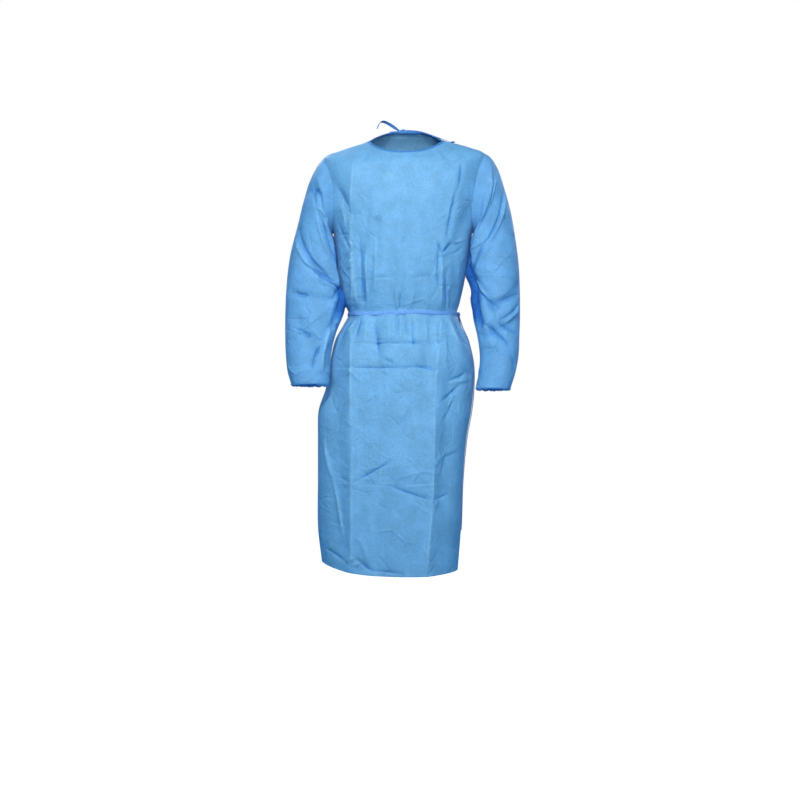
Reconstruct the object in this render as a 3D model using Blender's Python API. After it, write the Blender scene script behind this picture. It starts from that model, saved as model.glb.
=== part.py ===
"""Disposable surgical gown, worn and hollow, as a maker cuts and sews it.

A front panel and two backs that wrap over each other, two set-in sleeves with elastic cuffs,
a bound neck with its ties, and a narrow belt knotted at the side.
The front faces -Y, and the origin lies at the shoulders, level with the sides of the neck.
Left and right are the wearer's, so the right sleeve is at -X.
"""

import math

import bpy
import numpy as np
from mathutils import Vector

GOWN = "surgical_gown"

# Cloth and seams, metres
CLOTH = 0.0015
SEAM = 0.0003
SEAM_LAP = 0.003
LAP_GAP = 0.0009
SLEEVE_GAP = 0.0018

# The backs wrap this far past the centre back, and the under one starts to tuck in here, degrees
WRAP = 22.0
TUCK_FROM = 118.0
TUCK_TO = 156.0
WRAP_GAP = 0.0006

# Armholes reach this far round the body from the side, degrees
ARMHOLE = 28.0

# Neck binding, ties and belt, metres
BINDING_WIDTH = 0.0075
BINDING_THICK = 0.0026
TIE_WIDTH = 0.0085
TIE_THICK = 0.0012
NECK_KNOT = (0.016, 0.008, 0.012)
BELT_WIDTH = 0.0095
BELT_THICK = 0.0014
BELT_KNOT = (0.019, 0.009, 0.013)
BELT_KNOT_ANGLE = 100.0
TAIL_GAP = 0.0020

# Elastic cuffs: gathers round the wrist, the opening's radius, the gathers' height, and how much
# a metre of that height widens the cuff
CUFF_GATHERS = 14
CUFF_OPENING = 0.027
GATHER_HEIGHT = 0.0016
GATHER_SPREAD = 25.0

# Faces along and round each piece
FRONT_COLUMNS = 30
BACK_COLUMNS = 8
WRAP_COLUMNS = 5
SKIRT_ROWS = 14
BODICE_ROWS = 6
ARMHOLE_ROWS = 10
SHOULDER_ROWS = 5
SLEEVE_SIDES = 2 * ARMHOLE_ROWS
SLEEVE_ROWS = 17
CUFF_SIDES = 3 * CUFF_GATHERS
TIE_ROWS = 14
ARC_SAMPLES = 3001

# Level rings of the body, hem to neck: heights at the front, right, left and back, then the
# ring's reach to the right, left, front and back, and how square it is (2 is an ellipse)
BODY_COLUMNS = ("z_front", "z_right", "z_left", "z_back", "right", "left", "front", "back", "square")
BODY = {
    "hem": (-1.078, -1.048, -1.068, -1.072, 0.203, 0.137, 0.142, 0.150, 2.5),
    "low skirt": (-0.965, -0.960, -0.963, -0.965, 0.2125, 0.145, 0.146, 0.154, 2.5),
    "knee": (-0.848, -0.848, -0.848, -0.848, 0.2125, 0.149, 0.146, 0.153, 2.5),
    "thigh": (-0.745, -0.745, -0.745, -0.745, 0.2125, 0.158, 0.142, 0.150, 2.5),
    "below cuffs": (-0.675, -0.675, -0.675, -0.675, 0.211, 0.170, 0.137, 0.146, 2.5),
    "cuffs": (-0.618, -0.618, -0.618, -0.618, 0.193, 0.176, 0.132, 0.141, 2.5),
    "hip": (-0.558, -0.558, -0.558, -0.558, 0.183, 0.176, 0.127, 0.134, 2.5),
    "high hip": (-0.500, -0.500, -0.500, -0.500, 0.170, 0.163, 0.119, 0.122, 2.4),
    "below belt": (-0.462, -0.462, -0.462, -0.462, 0.150, 0.145, 0.111, 0.107, 2.3),
    "belt": (-0.4335, -0.4335, -0.4335, -0.4335, 0.1365, 0.1345, 0.103, 0.096, 2.25),
    "above belt": (-0.406, -0.406, -0.406, -0.406, 0.147, 0.1415, 0.110, 0.103, 2.3),
    "ribs": (-0.365, -0.365, -0.365, -0.365, 0.160, 0.151, 0.118, 0.110, 2.35),
    "chest": (-0.300, -0.300, -0.300, -0.300, 0.167, 0.163, 0.125, 0.118, 2.4),
    "armpit": (-0.2275, -0.2275, -0.2275, -0.2275, 0.1745, 0.1735, 0.127, 0.122, 2.4),
    "low armhole": (-0.182, -0.176, -0.176, -0.176, 0.186, 0.186, 0.126, 0.121, 2.4),
    "mid armhole": (-0.138, -0.124, -0.121, -0.122, 0.194, 0.196, 0.122, 0.117, 2.4),
    "high armhole": (-0.102, -0.078, -0.071, -0.070, 0.198, 0.2025, 0.116, 0.110, 2.4),
    "shoulder tip": (-0.074, -0.043, -0.033, -0.030, 0.1965, 0.2025, 0.108, 0.100, 2.3),
    "mid shoulder": (-0.054, -0.027, -0.0185, -0.003, 0.160, 0.170, 0.098, 0.088, 2.2),
    "neck slope": (-0.040, -0.014, -0.008, 0.017, 0.122, 0.135, 0.087, 0.075, 2.1),
    "neck": (-0.0275, -0.002, 0.000, 0.033, 0.0845, 0.100, 0.076, 0.062, 2.0),
}
CHEST = list(BODY).index("chest")
BELT_STATION = list(BODY).index("belt")
ARMPIT = list(BODY).index("armpit")
SHOULDER_TIP = list(BODY).index("shoulder tip")
NECK = list(BODY).index("neck")

# Stations at which the neck's and the shoulder tip's slopes are measured
NECK_SLOPE = NECK - 0.05
TIP_SLOPE = SHOULDER_TIP + 0.2

# How much of each ring's height follows its sides, low for a level hem, high at the neck
SIDE_LIFT = 2.8

# Largest folds of the front and the back, with the columns
# x_top, z_top, x_low, z_low (their two ends), half width, and how far they stand out (or in)
FRONT_FOLDS = [
    # Pressed vertical folds, right and left of the centre
    (-0.125, -0.060, -0.132, -0.300, 0.017, 0.0045),
    (-0.130, -0.480, -0.128, -1.060, 0.019, 0.0067),
    (0.145, -0.060, 0.110, -0.270, 0.019, 0.0053),
    (0.098, -0.470, 0.060, -1.080, 0.020, 0.0075),
    # Chest cloth pulled from the armholes and the neck
    (-0.170, -0.115, -0.130, -0.190, 0.014, -0.0037),
    (0.165, -0.180, 0.108, -0.300, 0.016, -0.0053),
    (0.055, -0.050, 0.142, -0.055, 0.012, 0.0027),
    # Cloth drawn in above the belt
    (-0.108, -0.250, -0.112, -0.420, 0.013, -0.0053),
    (-0.070, -0.330, -0.075, -0.425, 0.014, 0.0053),
    (-0.030, -0.350, -0.036, -0.425, 0.013, -0.0045),
    (0.002, -0.360, -0.004, -0.425, 0.013, 0.0045),
    (0.045, -0.350, 0.040, -0.425, 0.014, -0.0045),
    (0.094, -0.260, 0.088, -0.420, 0.013, 0.0060),
    # Pleats that fan out below the belt
    (-0.118, -0.440, -0.158, -0.510, 0.013, -0.0060),
    (-0.098, -0.440, -0.112, -0.580, 0.014, 0.0060),
    (-0.070, -0.440, -0.062, -0.560, 0.013, -0.0060),
    (-0.035, -0.440, -0.040, -0.540, 0.014, 0.0045),
    (-0.006, -0.440, -0.002, -0.560, 0.013, -0.0053),
    (0.030, -0.440, 0.036, -0.540, 0.014, 0.0045),
    (0.070, -0.440, 0.064, -0.570, 0.013, -0.0060),
    (0.115, -0.440, 0.142, -0.560, 0.014, 0.0060),
    # Long soft waves of the skirt
    (-0.172, -0.620, -0.150, -1.000, 0.026, -0.0075),
    (0.120, -0.600, 0.095, -0.900, 0.024, -0.0075),
    (-0.055, -0.720, -0.060, -1.070, 0.041, -0.0045),
    (0.015, -0.820, 0.020, -1.080, 0.036, 0.0045),
]
BACK_FOLDS = [
    (-0.120, -0.080, -0.115, -0.330, 0.020, 0.0053),
    (0.118, -0.080, 0.122, -0.330, 0.020, 0.0053),
    (-0.150, -0.200, -0.105, -0.300, 0.017, -0.0045),
    (0.150, -0.200, 0.110, -0.310, 0.017, -0.0045),
    (-0.100, -0.300, -0.090, -0.425, 0.016, -0.0060),
    (-0.055, -0.330, -0.050, -0.425, 0.016, 0.0060),
    (-0.012, -0.330, -0.014, -0.425, 0.014, -0.0053),
    (0.040, -0.330, 0.036, -0.425, 0.016, 0.0060),
    (0.088, -0.310, 0.078, -0.425, 0.014, -0.0060),
    (-0.095, -0.440, -0.130, -0.620, 0.018, 0.0075),
    (-0.065, -0.440, -0.080, -0.580, 0.016, -0.0067),
    (-0.020, -0.440, -0.028, -0.640, 0.018, 0.0067),
    (0.020, -0.440, 0.022, -0.560, 0.016, -0.0067),
    (0.062, -0.440, 0.072, -0.640, 0.018, 0.0075),
    (0.100, -0.440, 0.128, -0.560, 0.016, -0.0060),
    (-0.150, -0.640, -0.150, -1.060, 0.029, -0.0075),
    (-0.050, -0.700, -0.060, -1.070, 0.036, 0.0067),
    (0.085, -0.660, 0.080, -1.070, 0.031, -0.0075),
]

# Sleeve rings from the armhole to the cuff, with the columns x_out, z_out, x_in, z_in (the outer
# and the inner point: reach from the centre, height), y (the ring's middle) and its half depth
SLEEVES = {
    "right": [
        (0.2130, -0.0630, 0.1790, -0.2370, -0.002, 0.074),
        (0.2330, -0.1030, 0.1730, -0.2560, -0.004, 0.072),
        (0.2480, -0.1520, 0.1680, -0.2760, -0.006, 0.069),
        (0.2620, -0.2100, 0.1630, -0.3000, -0.009, 0.066),
        (0.2790, -0.2770, 0.1590, -0.3320, -0.013, 0.063),
        (0.2870, -0.3300, 0.1560, -0.3620, -0.018, 0.061),
        (0.2910, -0.3850, 0.1530, -0.3960, -0.024, 0.060),
        (0.2925, -0.4400, 0.1555, -0.4380, -0.032, 0.059),
        (0.2920, -0.4850, 0.1660, -0.4820, -0.042, 0.057),
        (0.2900, -0.5300, 0.1765, -0.5280, -0.056, 0.053),
        (0.2850, -0.5750, 0.1790, -0.5730, -0.070, 0.049),
        (0.2760, -0.6060, 0.1810, -0.6060, -0.080, 0.044),
    ],
    "left": [
        (0.2190, -0.0430, 0.1790, -0.2370, -0.002, 0.074),
        (0.2370, -0.0720, 0.1720, -0.2560, -0.004, 0.072),
        (0.2530, -0.1200, 0.1650, -0.2780, -0.006, 0.069),
        (0.2690, -0.1800, 0.1590, -0.3040, -0.009, 0.066),
        (0.2800, -0.2450, 0.1600, -0.3350, -0.013, 0.063),
        (0.2880, -0.3100, 0.1660, -0.3660, -0.018, 0.061),
        (0.2905, -0.3750, 0.1680, -0.4020, -0.024, 0.059),
        (0.2905, -0.4350, 0.1745, -0.4450, -0.031, 0.057),
        (0.2885, -0.4900, 0.1850, -0.4930, -0.040, 0.053),
        (0.2860, -0.5350, 0.1900, -0.5380, -0.050, 0.049),
        (0.2780, -0.5780, 0.1870, -0.5790, -0.060, 0.045),
        (0.2660, -0.6160, 0.1790, -0.6160, -0.066, 0.042),
    ],
}

# Largest folds of a sleeve, with the columns station_a, round_a, station_b, round_b (their two
# ends, degrees round from the top through the front), half width, and how far they stand out (or in)
SLEEVE_FOLDS = {
    "right": [
        (1.0, 95, 2.6, 20, 0.013, -0.0040),
        (1.4, 140, 4.8, 150, 0.014, -0.0060),
        (4.3, 30, 6.6, 135, 0.012, -0.0050),
        (6.0, 100, 6.4, 175, 0.012, 0.0035),
        (6.9, 40, 7.2, 110, 0.011, -0.0040),
        (8.2, 60, 10.2, 120, 0.012, -0.0040),
        (8.0, 150, 11.0, 120, 0.012, 0.0030),
        (2.5, 250, 5.5, 210, 0.015, -0.0050),
        (6.2, 190, 7.4, 300, 0.014, -0.0050),
        (8.5, 230, 10.5, 300, 0.014, -0.0040),
    ],
    "left": [
        (1.0, 40, 2.6, 90, 0.012, 0.0040),
        (1.3, 120, 4.4, 75, 0.012, -0.0045),
        (1.6, 150, 4.2, 150, 0.013, -0.0060),
        (5.6, 150, 7.8, 95, 0.012, -0.0045),
        (6.8, 20, 7.6, 100, 0.012, -0.0045),
        (8.3, 50, 9.0, 140, 0.012, -0.0045),
        (8.8, 110, 10.6, 30, 0.012, -0.0040),
        (2.5, 250, 5.5, 210, 0.015, -0.0050),
        (6.4, 190, 7.2, 300, 0.014, -0.0050),
        (8.7, 230, 10.4, 300, 0.014, -0.0040),
    ],
}
SIDES = {"right": -1.0, "left": 1.0}

# A sleeve's mean length of a station and of a radian round it, metres, how round its rings are,
# and the station from which it is kept clear of the body
STATION_LENGTH = 0.050
RADIAN_LENGTH = 0.060
SLEEVE_ROUNDNESS = 0.92
ARMHOLE_CLEAR = 0.5

# Cuff rows from the sleeve's end to the elastic, with the columns inward (share of the way in to
# the wrist opening), height over the sleeve's end, and gathered (share of the gathers' height)
CUFF = [
    (0.00, -0.0003, 0.0),
    (0.03, -0.0045, 0.3),
    (0.22, -0.0075, 0.7),
    (0.65, -0.0020, 1.0),
    (1.00, 0.0060, 1.0),
    (1.00, 0.0140, 0.8),
]

# Belt ends below the knot, with the columns degrees_top, degrees_low, the end's station, and how
# far they swing free of the skirt
BELT_TAILS = {
    "belt_tail_front": (97.2, 96.5, 0.90, 0.0020),
    "belt_tail_back": (102.8, 109.0, 1.25, 0.0010),
}

# Neck ties from the knot to the free end, with the columns degrees round, station, off (how far
# they stand off the back's surface) and above (how far above it)
NECK_TIES = {
    "neck_tie_right": [
        (-174.3, 19.88, 0.0043, 0.000), (-163.0, 20.00, 0.0100, 0.007), (-151.0, 20.00, 0.0120, 0.017),
        (-140.0, 20.00, 0.0080, 0.022), (-133.0, 20.00, 0.0050, 0.014),
    ],
    "neck_tie_left": [
        (175.7, 19.88, 0.0043, 0.000), (158.0, 19.72, 0.0036, 0.000), (140.0, 19.50, 0.0020, 0.000),
        (124.0, 19.35, 0.0016, 0.000), (108.0, 19.25, 0.0016, 0.000), (97.0, 19.22, 0.0036, 0.001),
    ],
}

COLOURS = {
    "cloth": (0.16, 0.44, 0.80, 1.0),
    "elastic": (0.13, 0.38, 0.74, 1.0),
    "binding": (0.11, 0.35, 0.72, 1.0),
    "belt": (0.17, 0.45, 0.80, 1.0),
}
ROUGHNESS = 0.62


def smooth(values, t):
    """Cubic curve through the values at t = 0, 1, 2 and on, its slope the mean of both sides'."""
    values = np.asarray(values, float)
    slope = np.gradient(values, axis=0)
    i = np.clip(np.floor(t).astype(int), 0, len(values) - 2)
    f = np.reshape(t - i, np.shape(t) + (1,) * (values.ndim - 1))
    start = values[i] * (1 + 2 * f) * (1 - f) ** 2 + slope[i] * f * (1 - f) ** 2
    end = values[i + 1] * f**2 * (3 - 2 * f) - slope[i + 1] * f**2 * (1 - f)
    return start + end


def ease(low, high, value):
    """0 below low, 1 above high, and a smooth curve between them."""
    f = np.clip((value - low) / (high - low), 0.0, 1.0)
    return f * f * (3 - 2 * f)


def signed_power(value, power):
    """The value's size raised to the power, with its sign kept."""
    return np.sign(value) * np.abs(value) ** power


def body_station(column, t):
    """One column of the body's table at station t."""
    return smooth([row[BODY_COLUMNS.index(column)] for row in BODY.values()], t)


def fold_height(folds, x, z):
    """Sum of the folds at (x, z): each is round in section and fades past its two ends."""
    height = np.zeros_like(x)
    for x_top, z_top, x_low, z_low, width, depth in folds:
        run_x, run_z = x_low - x_top, z_low - z_top
        f = ((x - x_top) * run_x + (z - z_top) * run_z) / (run_x**2 + run_z**2)
        f = np.clip(f, 0.0, 1.0)
        away = np.hypot(x - x_top - f * run_x, z - z_top - f * run_z)
        height += depth * np.exp(-((away / width) ** 2))
    return height


def bare_body(a, t):
    """Body surface without folds, a radians round from the centre front at station t."""
    s, c = np.sin(a), np.cos(a)
    reach = np.where(s > 0, body_station("left", t), body_station("right", t))
    deep = np.where(c > 0, body_station("front", t), body_station("back", t))
    power = 2 / body_station("square", t)
    across = np.abs(s) ** power
    z_side = np.where(s > 0, body_station("z_left", t), body_station("z_right", t))
    z_mid = np.where(c > 0, body_station("z_front", t), body_station("z_back", t))
    z = z_mid + (z_side - z_mid) * across**SIDE_LIFT
    return np.stack([reach * np.sign(s) * across, -deep * signed_power(c, power), z], -1)


def normals(surface, u, v, step=1e-3):
    """Unit normals of a surface of two parameters, from points a small step to each side."""
    along_u = surface(u + step, v) - surface(u - step, v)
    along_v = surface(u, v + step) - surface(u, v - step)
    normal = np.cross(along_u, along_v)
    return normal / np.linalg.norm(normal, axis=-1, keepdims=True)


def body(a, t):
    """Body surface with its folds, which stand out along the bare surface's normal."""
    a, t = np.broadcast_arrays(np.asarray(a, float), np.asarray(t, float))
    point = bare_body(a, t)
    x, z = point[..., 0], point[..., 2]
    front = fold_height(FRONT_FOLDS, x, z)
    back = fold_height(BACK_FOLDS, x, z)
    c = np.cos(a)
    height = front * ease(0.05, 0.45, c) + back * ease(0.05, 0.45, -c)
    height *= 1 - ease(NECK - 2.0, NECK - 1.0, t)
    return point + normals(bare_body, a, t) * height[..., None]


def tucked_in(a):
    """Share of the way in that the under back and its binding lie at angle a."""
    return ease(math.radians(TUCK_FROM), math.radians(TUCK_TO), -a)


def speed(surface, u, v, which, step=1e-3):
    """Metres that a surface point moves for one unit of its first (0) or second (1) parameter."""
    du, dv = (step, 0) if which == 0 else (0, step)
    return np.linalg.norm(surface(u + du, v + dv) - surface(u - du, v - dv), axis=-1) / (2 * step)


def panel_stations():
    """Stations of the panels' rows, two of them at the belt's edges, as a column."""
    belt_edge = (BELT_WIDTH / 2 + SEAM) / speed(body, 0.0, float(BELT_STATION), 1)
    skirt = np.linspace(0, BELT_STATION - belt_edge, SKIRT_ROWS)
    bodice = np.linspace(BELT_STATION + belt_edge, ARMPIT, BODICE_ROWS)
    turn = np.linspace(0, np.pi, ARMHOLE_ROWS + 1)[1:]
    armhole = ARMPIT + (SHOULDER_TIP - ARMPIT) * (1 - np.cos(turn)) / 2
    shoulder = np.linspace(SHOULDER_TIP, NECK, SHOULDER_ROWS + 1)[1:]
    return np.concatenate([skirt, bodice, armhole, shoulder])[:, None]


def even_angles(start, end, count):
    """Angles from start to end, evenly spaced along the chest's ring, a row for each station."""
    fine = np.linspace(-1.5 * np.pi, 1.5 * np.pi, ARC_SAMPLES)
    ring = bare_body(fine, np.full_like(fine, CHEST))
    arc = np.append(0.0, np.cumsum(np.linalg.norm(np.diff(ring, axis=0), axis=-1)))
    low, high = np.interp(start, fine, arc), np.interp(end, fine, arc)
    return np.interp(low + (high - low) * np.linspace(0, 1, count + 1)[None, :], arc, fine)


def panel_angles(piece, t):
    """Angles of a panel's columns at stations t, in the wrap the same on both backs."""
    edge = math.pi / 2 + cut_angle(t)
    wrap = math.radians(WRAP) + 0 * t
    if piece == "front":
        return even_angles(edge - math.pi, math.pi - edge, FRONT_COLUMNS)
    wrapped = even_angles(math.pi - wrap, math.pi + wrap, WRAP_COLUMNS)
    if piece == "left":
        return np.append(even_angles(edge, math.pi - wrap, BACK_COLUMNS)[:, :-1], wrapped, axis=1)
    plain = even_angles(wrap - math.pi, -edge, BACK_COLUMNS)
    return np.append(wrapped - 2 * math.pi, plain[:, 1:], axis=1)


def panel_top(a):
    """Station at which the panels stop, one seam below the neck binding."""
    return NECK - (BINDING_WIDTH + SEAM) / speed(body, a, np.full_like(a, NECK_SLOPE), 1)


def panel_grid(piece):
    """Angles and stations of a panel's points; the last rows close up under the binding."""
    t = panel_stations()
    a = panel_angles(piece, t)
    rise = ease(SHOULDER_TIP, NECK, t)
    return a, t + (panel_top(a) - NECK) * rise


def cut_angle(t):
    """Radians from the side at which a panel ends: the armhole's curve, or half a seam."""
    u = np.clip((t - ARMPIT) / (SHOULDER_TIP - ARMPIT), 0.0, 1.0)
    hole = math.radians(ARMHOLE) * np.sqrt(np.clip(1 - (2 * u - 1) ** 2, 0, 1))
    gap = SEAM / 2 / speed(body, np.full_like(t, math.pi / 2), t, 0)
    return np.maximum(hole, gap)


def wall_object(name, outer, inner, colour, round_it=False):
    """Closed wall between an outer and an inner grid of points, open or joined round its rows."""
    rows, columns = outer.shape[:2]
    index = np.arange(rows * columns).reshape(rows, columns)
    if round_it:
        index = np.concatenate([index, index[:, :1]], axis=1)
    low = np.stack([index[:-1, :-1], index[:-1, 1:], index[1:, 1:]], -1).reshape(-1, 3)
    high = np.stack([index[:-1, :-1], index[1:, 1:], index[1:, :-1]], -1).reshape(-1, 3)
    skin = np.concatenate([low, high])
    under = rows * columns
    rims = [np.stack([edge[1:], edge[:-1], edge[:-1] + under, edge[1:] + under], -1)
            for edge in (index[0], index[-1][::-1])]
    if not round_it:
        rims += [np.stack([edge[1:], edge[:-1], edge[:-1] + under, edge[1:] + under], -1)
                 for edge in (index[:, 0][::-1], index[:, -1])]
    faces = skin.tolist() + (skin[:, ::-1] + under).tolist() + np.concatenate(rims).tolist()
    points = np.concatenate([outer.reshape(-1, 3), inner.reshape(-1, 3)])
    mesh = bpy.data.meshes.new(name)
    mesh.from_pydata(points.tolist(), [], faces)
    mesh.validate()
    return finished(bpy.data.objects.new(name, mesh), colour)


def finished(gown_object, colour):
    """Puts an object in the gown's collection, shades it smooth and gives it its material."""
    for other in list(gown_object.users_collection):
        other.objects.unlink(gown_object)
    bpy.data.collections[GOWN].objects.link(gown_object)
    material = bpy.data.materials.new(gown_object.name)
    material.use_nodes = True
    shader = material.node_tree.nodes["Principled BSDF"]
    shader.inputs["Base Color"].default_value = COLOURS[colour]
    shader.inputs["Roughness"].default_value = ROUGHNESS
    gown_object.data.materials.append(material)
    gown_object.data.shade_smooth()
    return gown_object


def cloth_wall(name, surface, u, v, colour="cloth", inset=0.0):
    """Cloth of one thickness on a surface, its outer face moved in by inset."""
    out = normals(surface, u, v)
    outer = surface(u, v) - out * np.asarray(inset)[..., None]
    return wall_object(name, outer, outer - out * CLOTH, colour)


def make_body():
    """The front and the two backs, which share the body's surface and meet at the sides."""
    a, t = panel_grid("front")
    cloth_wall("front_panel", body, a, t)
    a, t = panel_grid("left")
    cloth_wall("back_panel_left", body, a, t)
    a, t = panel_grid("right")
    cloth_wall("back_panel_right", body, a, t, inset=(CLOTH + WRAP_GAP) * tucked_in(a))


def make_neck_binding():
    """A strip folded over the neck edge, in the panels' surface, its under end tucked inside."""
    edge = np.array([[float(NECK)]])
    pieces = [panel_angles("right", edge)[0], panel_angles("front", edge)[0], panel_angles("left", edge)[0]]
    a = np.concatenate([pieces[0][:-1], pieces[1], pieces[2][1:]])[None, :]
    low = panel_top(a) + SEAM / speed(body, a, np.full_like(a, NECK_SLOPE), 1)
    a, t = np.repeat(a, 2, axis=0), np.concatenate([low, np.full_like(low, NECK)])
    out = normals(body, a, t)
    proud = (BINDING_THICK - CLOTH) / 2
    inset = (BINDING_THICK + WRAP_GAP) * tucked_in(a)
    outer = body(a, t) + out * (proud - inset)[..., None]
    wall_object("neck_binding", outer, outer - out * BINDING_THICK, "binding")


def make_belt():
    """A flat tie all round the waist, made from the panels' own angles and moved out."""
    waist = np.array([[float(BELT_STATION)]])
    right = panel_angles("right", waist)[0][WRAP_COLUMNS:-1]
    a = np.concatenate([right, panel_angles("front", waist)[0], panel_angles("left", waist)[0][1:-1]])
    half = BELT_WIDTH / 2 / speed(body, 0.0, float(BELT_STATION), 1)
    t = BELT_STATION + np.array([[-half], [half]])
    a, t = np.broadcast_arrays(a[None, :], t)
    out = normals(body, a, t)
    inner = body(a, t) + out * SEAM
    wall_object("belt", inner + out * BELT_THICK, inner, "belt", round_it=True)


def make_knot(name, centre, out, size, colour):
    """A small pulled knot, as a rounded lump turned to face along out."""
    bpy.ops.mesh.primitive_uv_sphere_add(segments=12, ring_count=8, radius=0.5)
    knot = bpy.context.object
    knot.name = name
    knot.data.name = name
    knot.scale = size
    knot.rotation_euler = Vector(out).to_track_quat("Y", "Z").to_euler()
    knot.location = centre
    finished(knot, colour)


def make_strip(name, path, across, out, width, thick, colour):
    """A flat tie along a path, its width along across and its back face on the path."""
    inner = np.stack([path - across * width / 2, path + across * width / 2])
    wall_object(name, inner + out * thick, inner, colour)


def make_belt_knot_and_tails():
    """The knot at the left side, and the belt's two ends hanging from it down the skirt."""
    angle = math.radians(BELT_KNOT_ANGLE)
    point, out = body(angle, BELT_STATION), normals(body, angle, float(BELT_STATION))
    stand = 2 * SEAM + BELT_THICK + BELT_KNOT[1] / 2
    make_knot("belt_knot", point + out * stand, out, BELT_KNOT, "belt")
    top = BELT_STATION - (BELT_KNOT[2] / 2 + TAIL_GAP) / speed(body, angle, float(BELT_STATION), 1)
    for name, (a_top, a_low, station, swing) in BELT_TAILS.items():
        f = np.linspace(0, 1, TIE_ROWS + 1)
        t = top + (station - top) * f
        a = np.radians(a_top + (a_low - a_top) * f)
        out = normals(bare_body, a, t)
        off = stand - BELT_THICK / 2 + (BELT_THICK + swing - stand) * ease(0, 0.16, f)
        path = body(a, t) + out * off[:, None]
        across = np.cross(out, np.gradient(path, axis=0))
        across /= np.linalg.norm(across, axis=-1, keepdims=True)
        make_strip(name, path, across, out, BELT_WIDTH, BELT_THICK, "belt")


def make_neck_ties():
    """The binding's ends, knotted behind the neck: one stands up, one lies over the shoulder."""
    middle = NECK - BINDING_WIDTH / 2 / speed(body, math.pi, NECK_SLOPE, 1)
    point, out = body(math.pi, middle), normals(body, math.pi, middle)
    stand = (BINDING_THICK - CLOTH) / 2 + SEAM + NECK_KNOT[1] / 2
    centre = point + out * stand
    make_knot("neck_knot", centre, out, NECK_KNOT, "binding")
    for name, rows in NECK_TIES.items():
        degrees, station, off, above = smooth(rows, np.linspace(0, len(rows) - 1, TIE_ROWS + 1)).T
        away = normals(bare_body, np.radians(degrees), station)
        points = bare_body(np.radians(degrees), station) + away * off[:, None]
        points[:, 2] += above
        run = np.gradient(points, axis=0)
        run /= np.linalg.norm(run, axis=-1, keepdims=True)
        out = away - run * (away * run).sum(-1, keepdims=True)
        out /= np.linalg.norm(out, axis=-1, keepdims=True)
        make_strip(name, points, np.cross(out, run), out, TIE_WIDTH, TIE_THICK, "binding")


def armhole_ring(side, phi):
    """Ring on the panels just outside the armhole's edge, and the panels' normals there."""
    lap_a = SEAM_LAP / speed(body, math.pi / 2, (ARMPIT + SHOULDER_TIP) / 2, 0)
    lap_low = SEAM_LAP / speed(body, math.pi / 2, ARMPIT, 1)
    lap_high = SEAM_LAP / speed(body, math.pi / 2, TIP_SLOPE, 1)
    low, high = ARMPIT - lap_low, SHOULDER_TIP + lap_high
    a = SIDES[side] * (math.pi / 2 - (math.radians(ARMHOLE) + lap_a) * np.sin(phi))
    t = low + (high - low) * (1 + np.cos(phi)) / 2
    return body(a, t), normals(body, a, t)


def bare_sleeve(side, phi, s):
    """Sleeve without folds, phi round from the top through the front, at station s."""
    base, out = armhole_ring(side, phi)
    rings = [base + out * (LAP_GAP + CLOTH)]
    cos, sin = (signed_power(value, SLEEVE_ROUNDNESS) for value in (np.cos(phi), np.sin(phi)))
    for x_out, z_out, x_in, z_in, y, depth in SLEEVES[side]:
        x = (x_out + x_in) / 2 + (x_out - x_in) / 2 * cos
        z = (z_out + z_in) / 2 + (z_out - z_in) / 2 * cos
        rings.append(np.stack([SIDES[side] * x, y - depth * sin, z], -1))
    rings = np.stack(rings)
    slope = np.gradient(rings, axis=0)
    i = np.clip(np.floor(s).astype(int), 0, len(rings) - 2)
    f = (s - i)[..., None]
    pick = np.indices(i.shape)
    a, b = rings[(i, *pick)], rings[(i + 1, *pick)]
    slope_a, slope_b = slope[(i, *pick)], slope[(i + 1, *pick)]
    start = a * (1 + 2 * f) * (1 - f) ** 2 + slope_a * f * (1 - f) ** 2
    return start + b * f**2 * (3 - 2 * f) - slope_b * f**2 * (1 - f)


def clear_of_body(side, points, s):
    """Sleeve points below the armhole moved sideways, just clear of the body's bare side."""
    side_heights = [row[BODY_COLUMNS.index(f"z_{side}")] for row in BODY.values()]
    t = np.interp(points[..., 2], side_heights, np.arange(len(BODY)))
    deep = np.where(points[..., 1] < 0, body_station("front", t), body_station("back", t))
    square = body_station("square", t)
    inside = np.clip(1 - np.abs(points[..., 1] / deep) ** square, 0, 1)
    least = body_station(side, t) * inside ** (1 / square) + SLEEVE_GAP
    reach = SIDES[side] * points[..., 0]
    cleared = points.copy()
    cleared[..., 0] = SIDES[side] * np.where(s > ARMHOLE_CLEAR, np.maximum(reach, least), reach)
    return cleared


def sleeve_surface(side):
    """The sleeve with its folds, as a surface of phi and s."""
    facing = SIDES[side]

    def bare(phi, s):
        return bare_sleeve(side, phi, s)

    def folded(phi, s):
        phi, s = np.broadcast_arrays(np.asarray(phi, float), np.asarray(s, float))
        turn = np.mod(phi, 2 * np.pi)
        height = np.zeros_like(s)
        for s_a, round_a, s_b, round_b, width, depth in SLEEVE_FOLDS[side]:
            ends = [(math.radians(round_a) * RADIAN_LENGTH, s_a * STATION_LENGTH,
                     math.radians(round_b) * RADIAN_LENGTH, s_b * STATION_LENGTH, width, depth)]
            height += fold_height(ends, turn * RADIAN_LENGTH, s * STATION_LENGTH)
        height *= ease(0.3, 1.4, s) * ease(0, 1.2, len(SLEEVES[side]) - s)
        points = bare(phi, s) + facing * normals(bare, phi, s) * height[..., None]
        return clear_of_body(side, points, s)

    return folded


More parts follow.
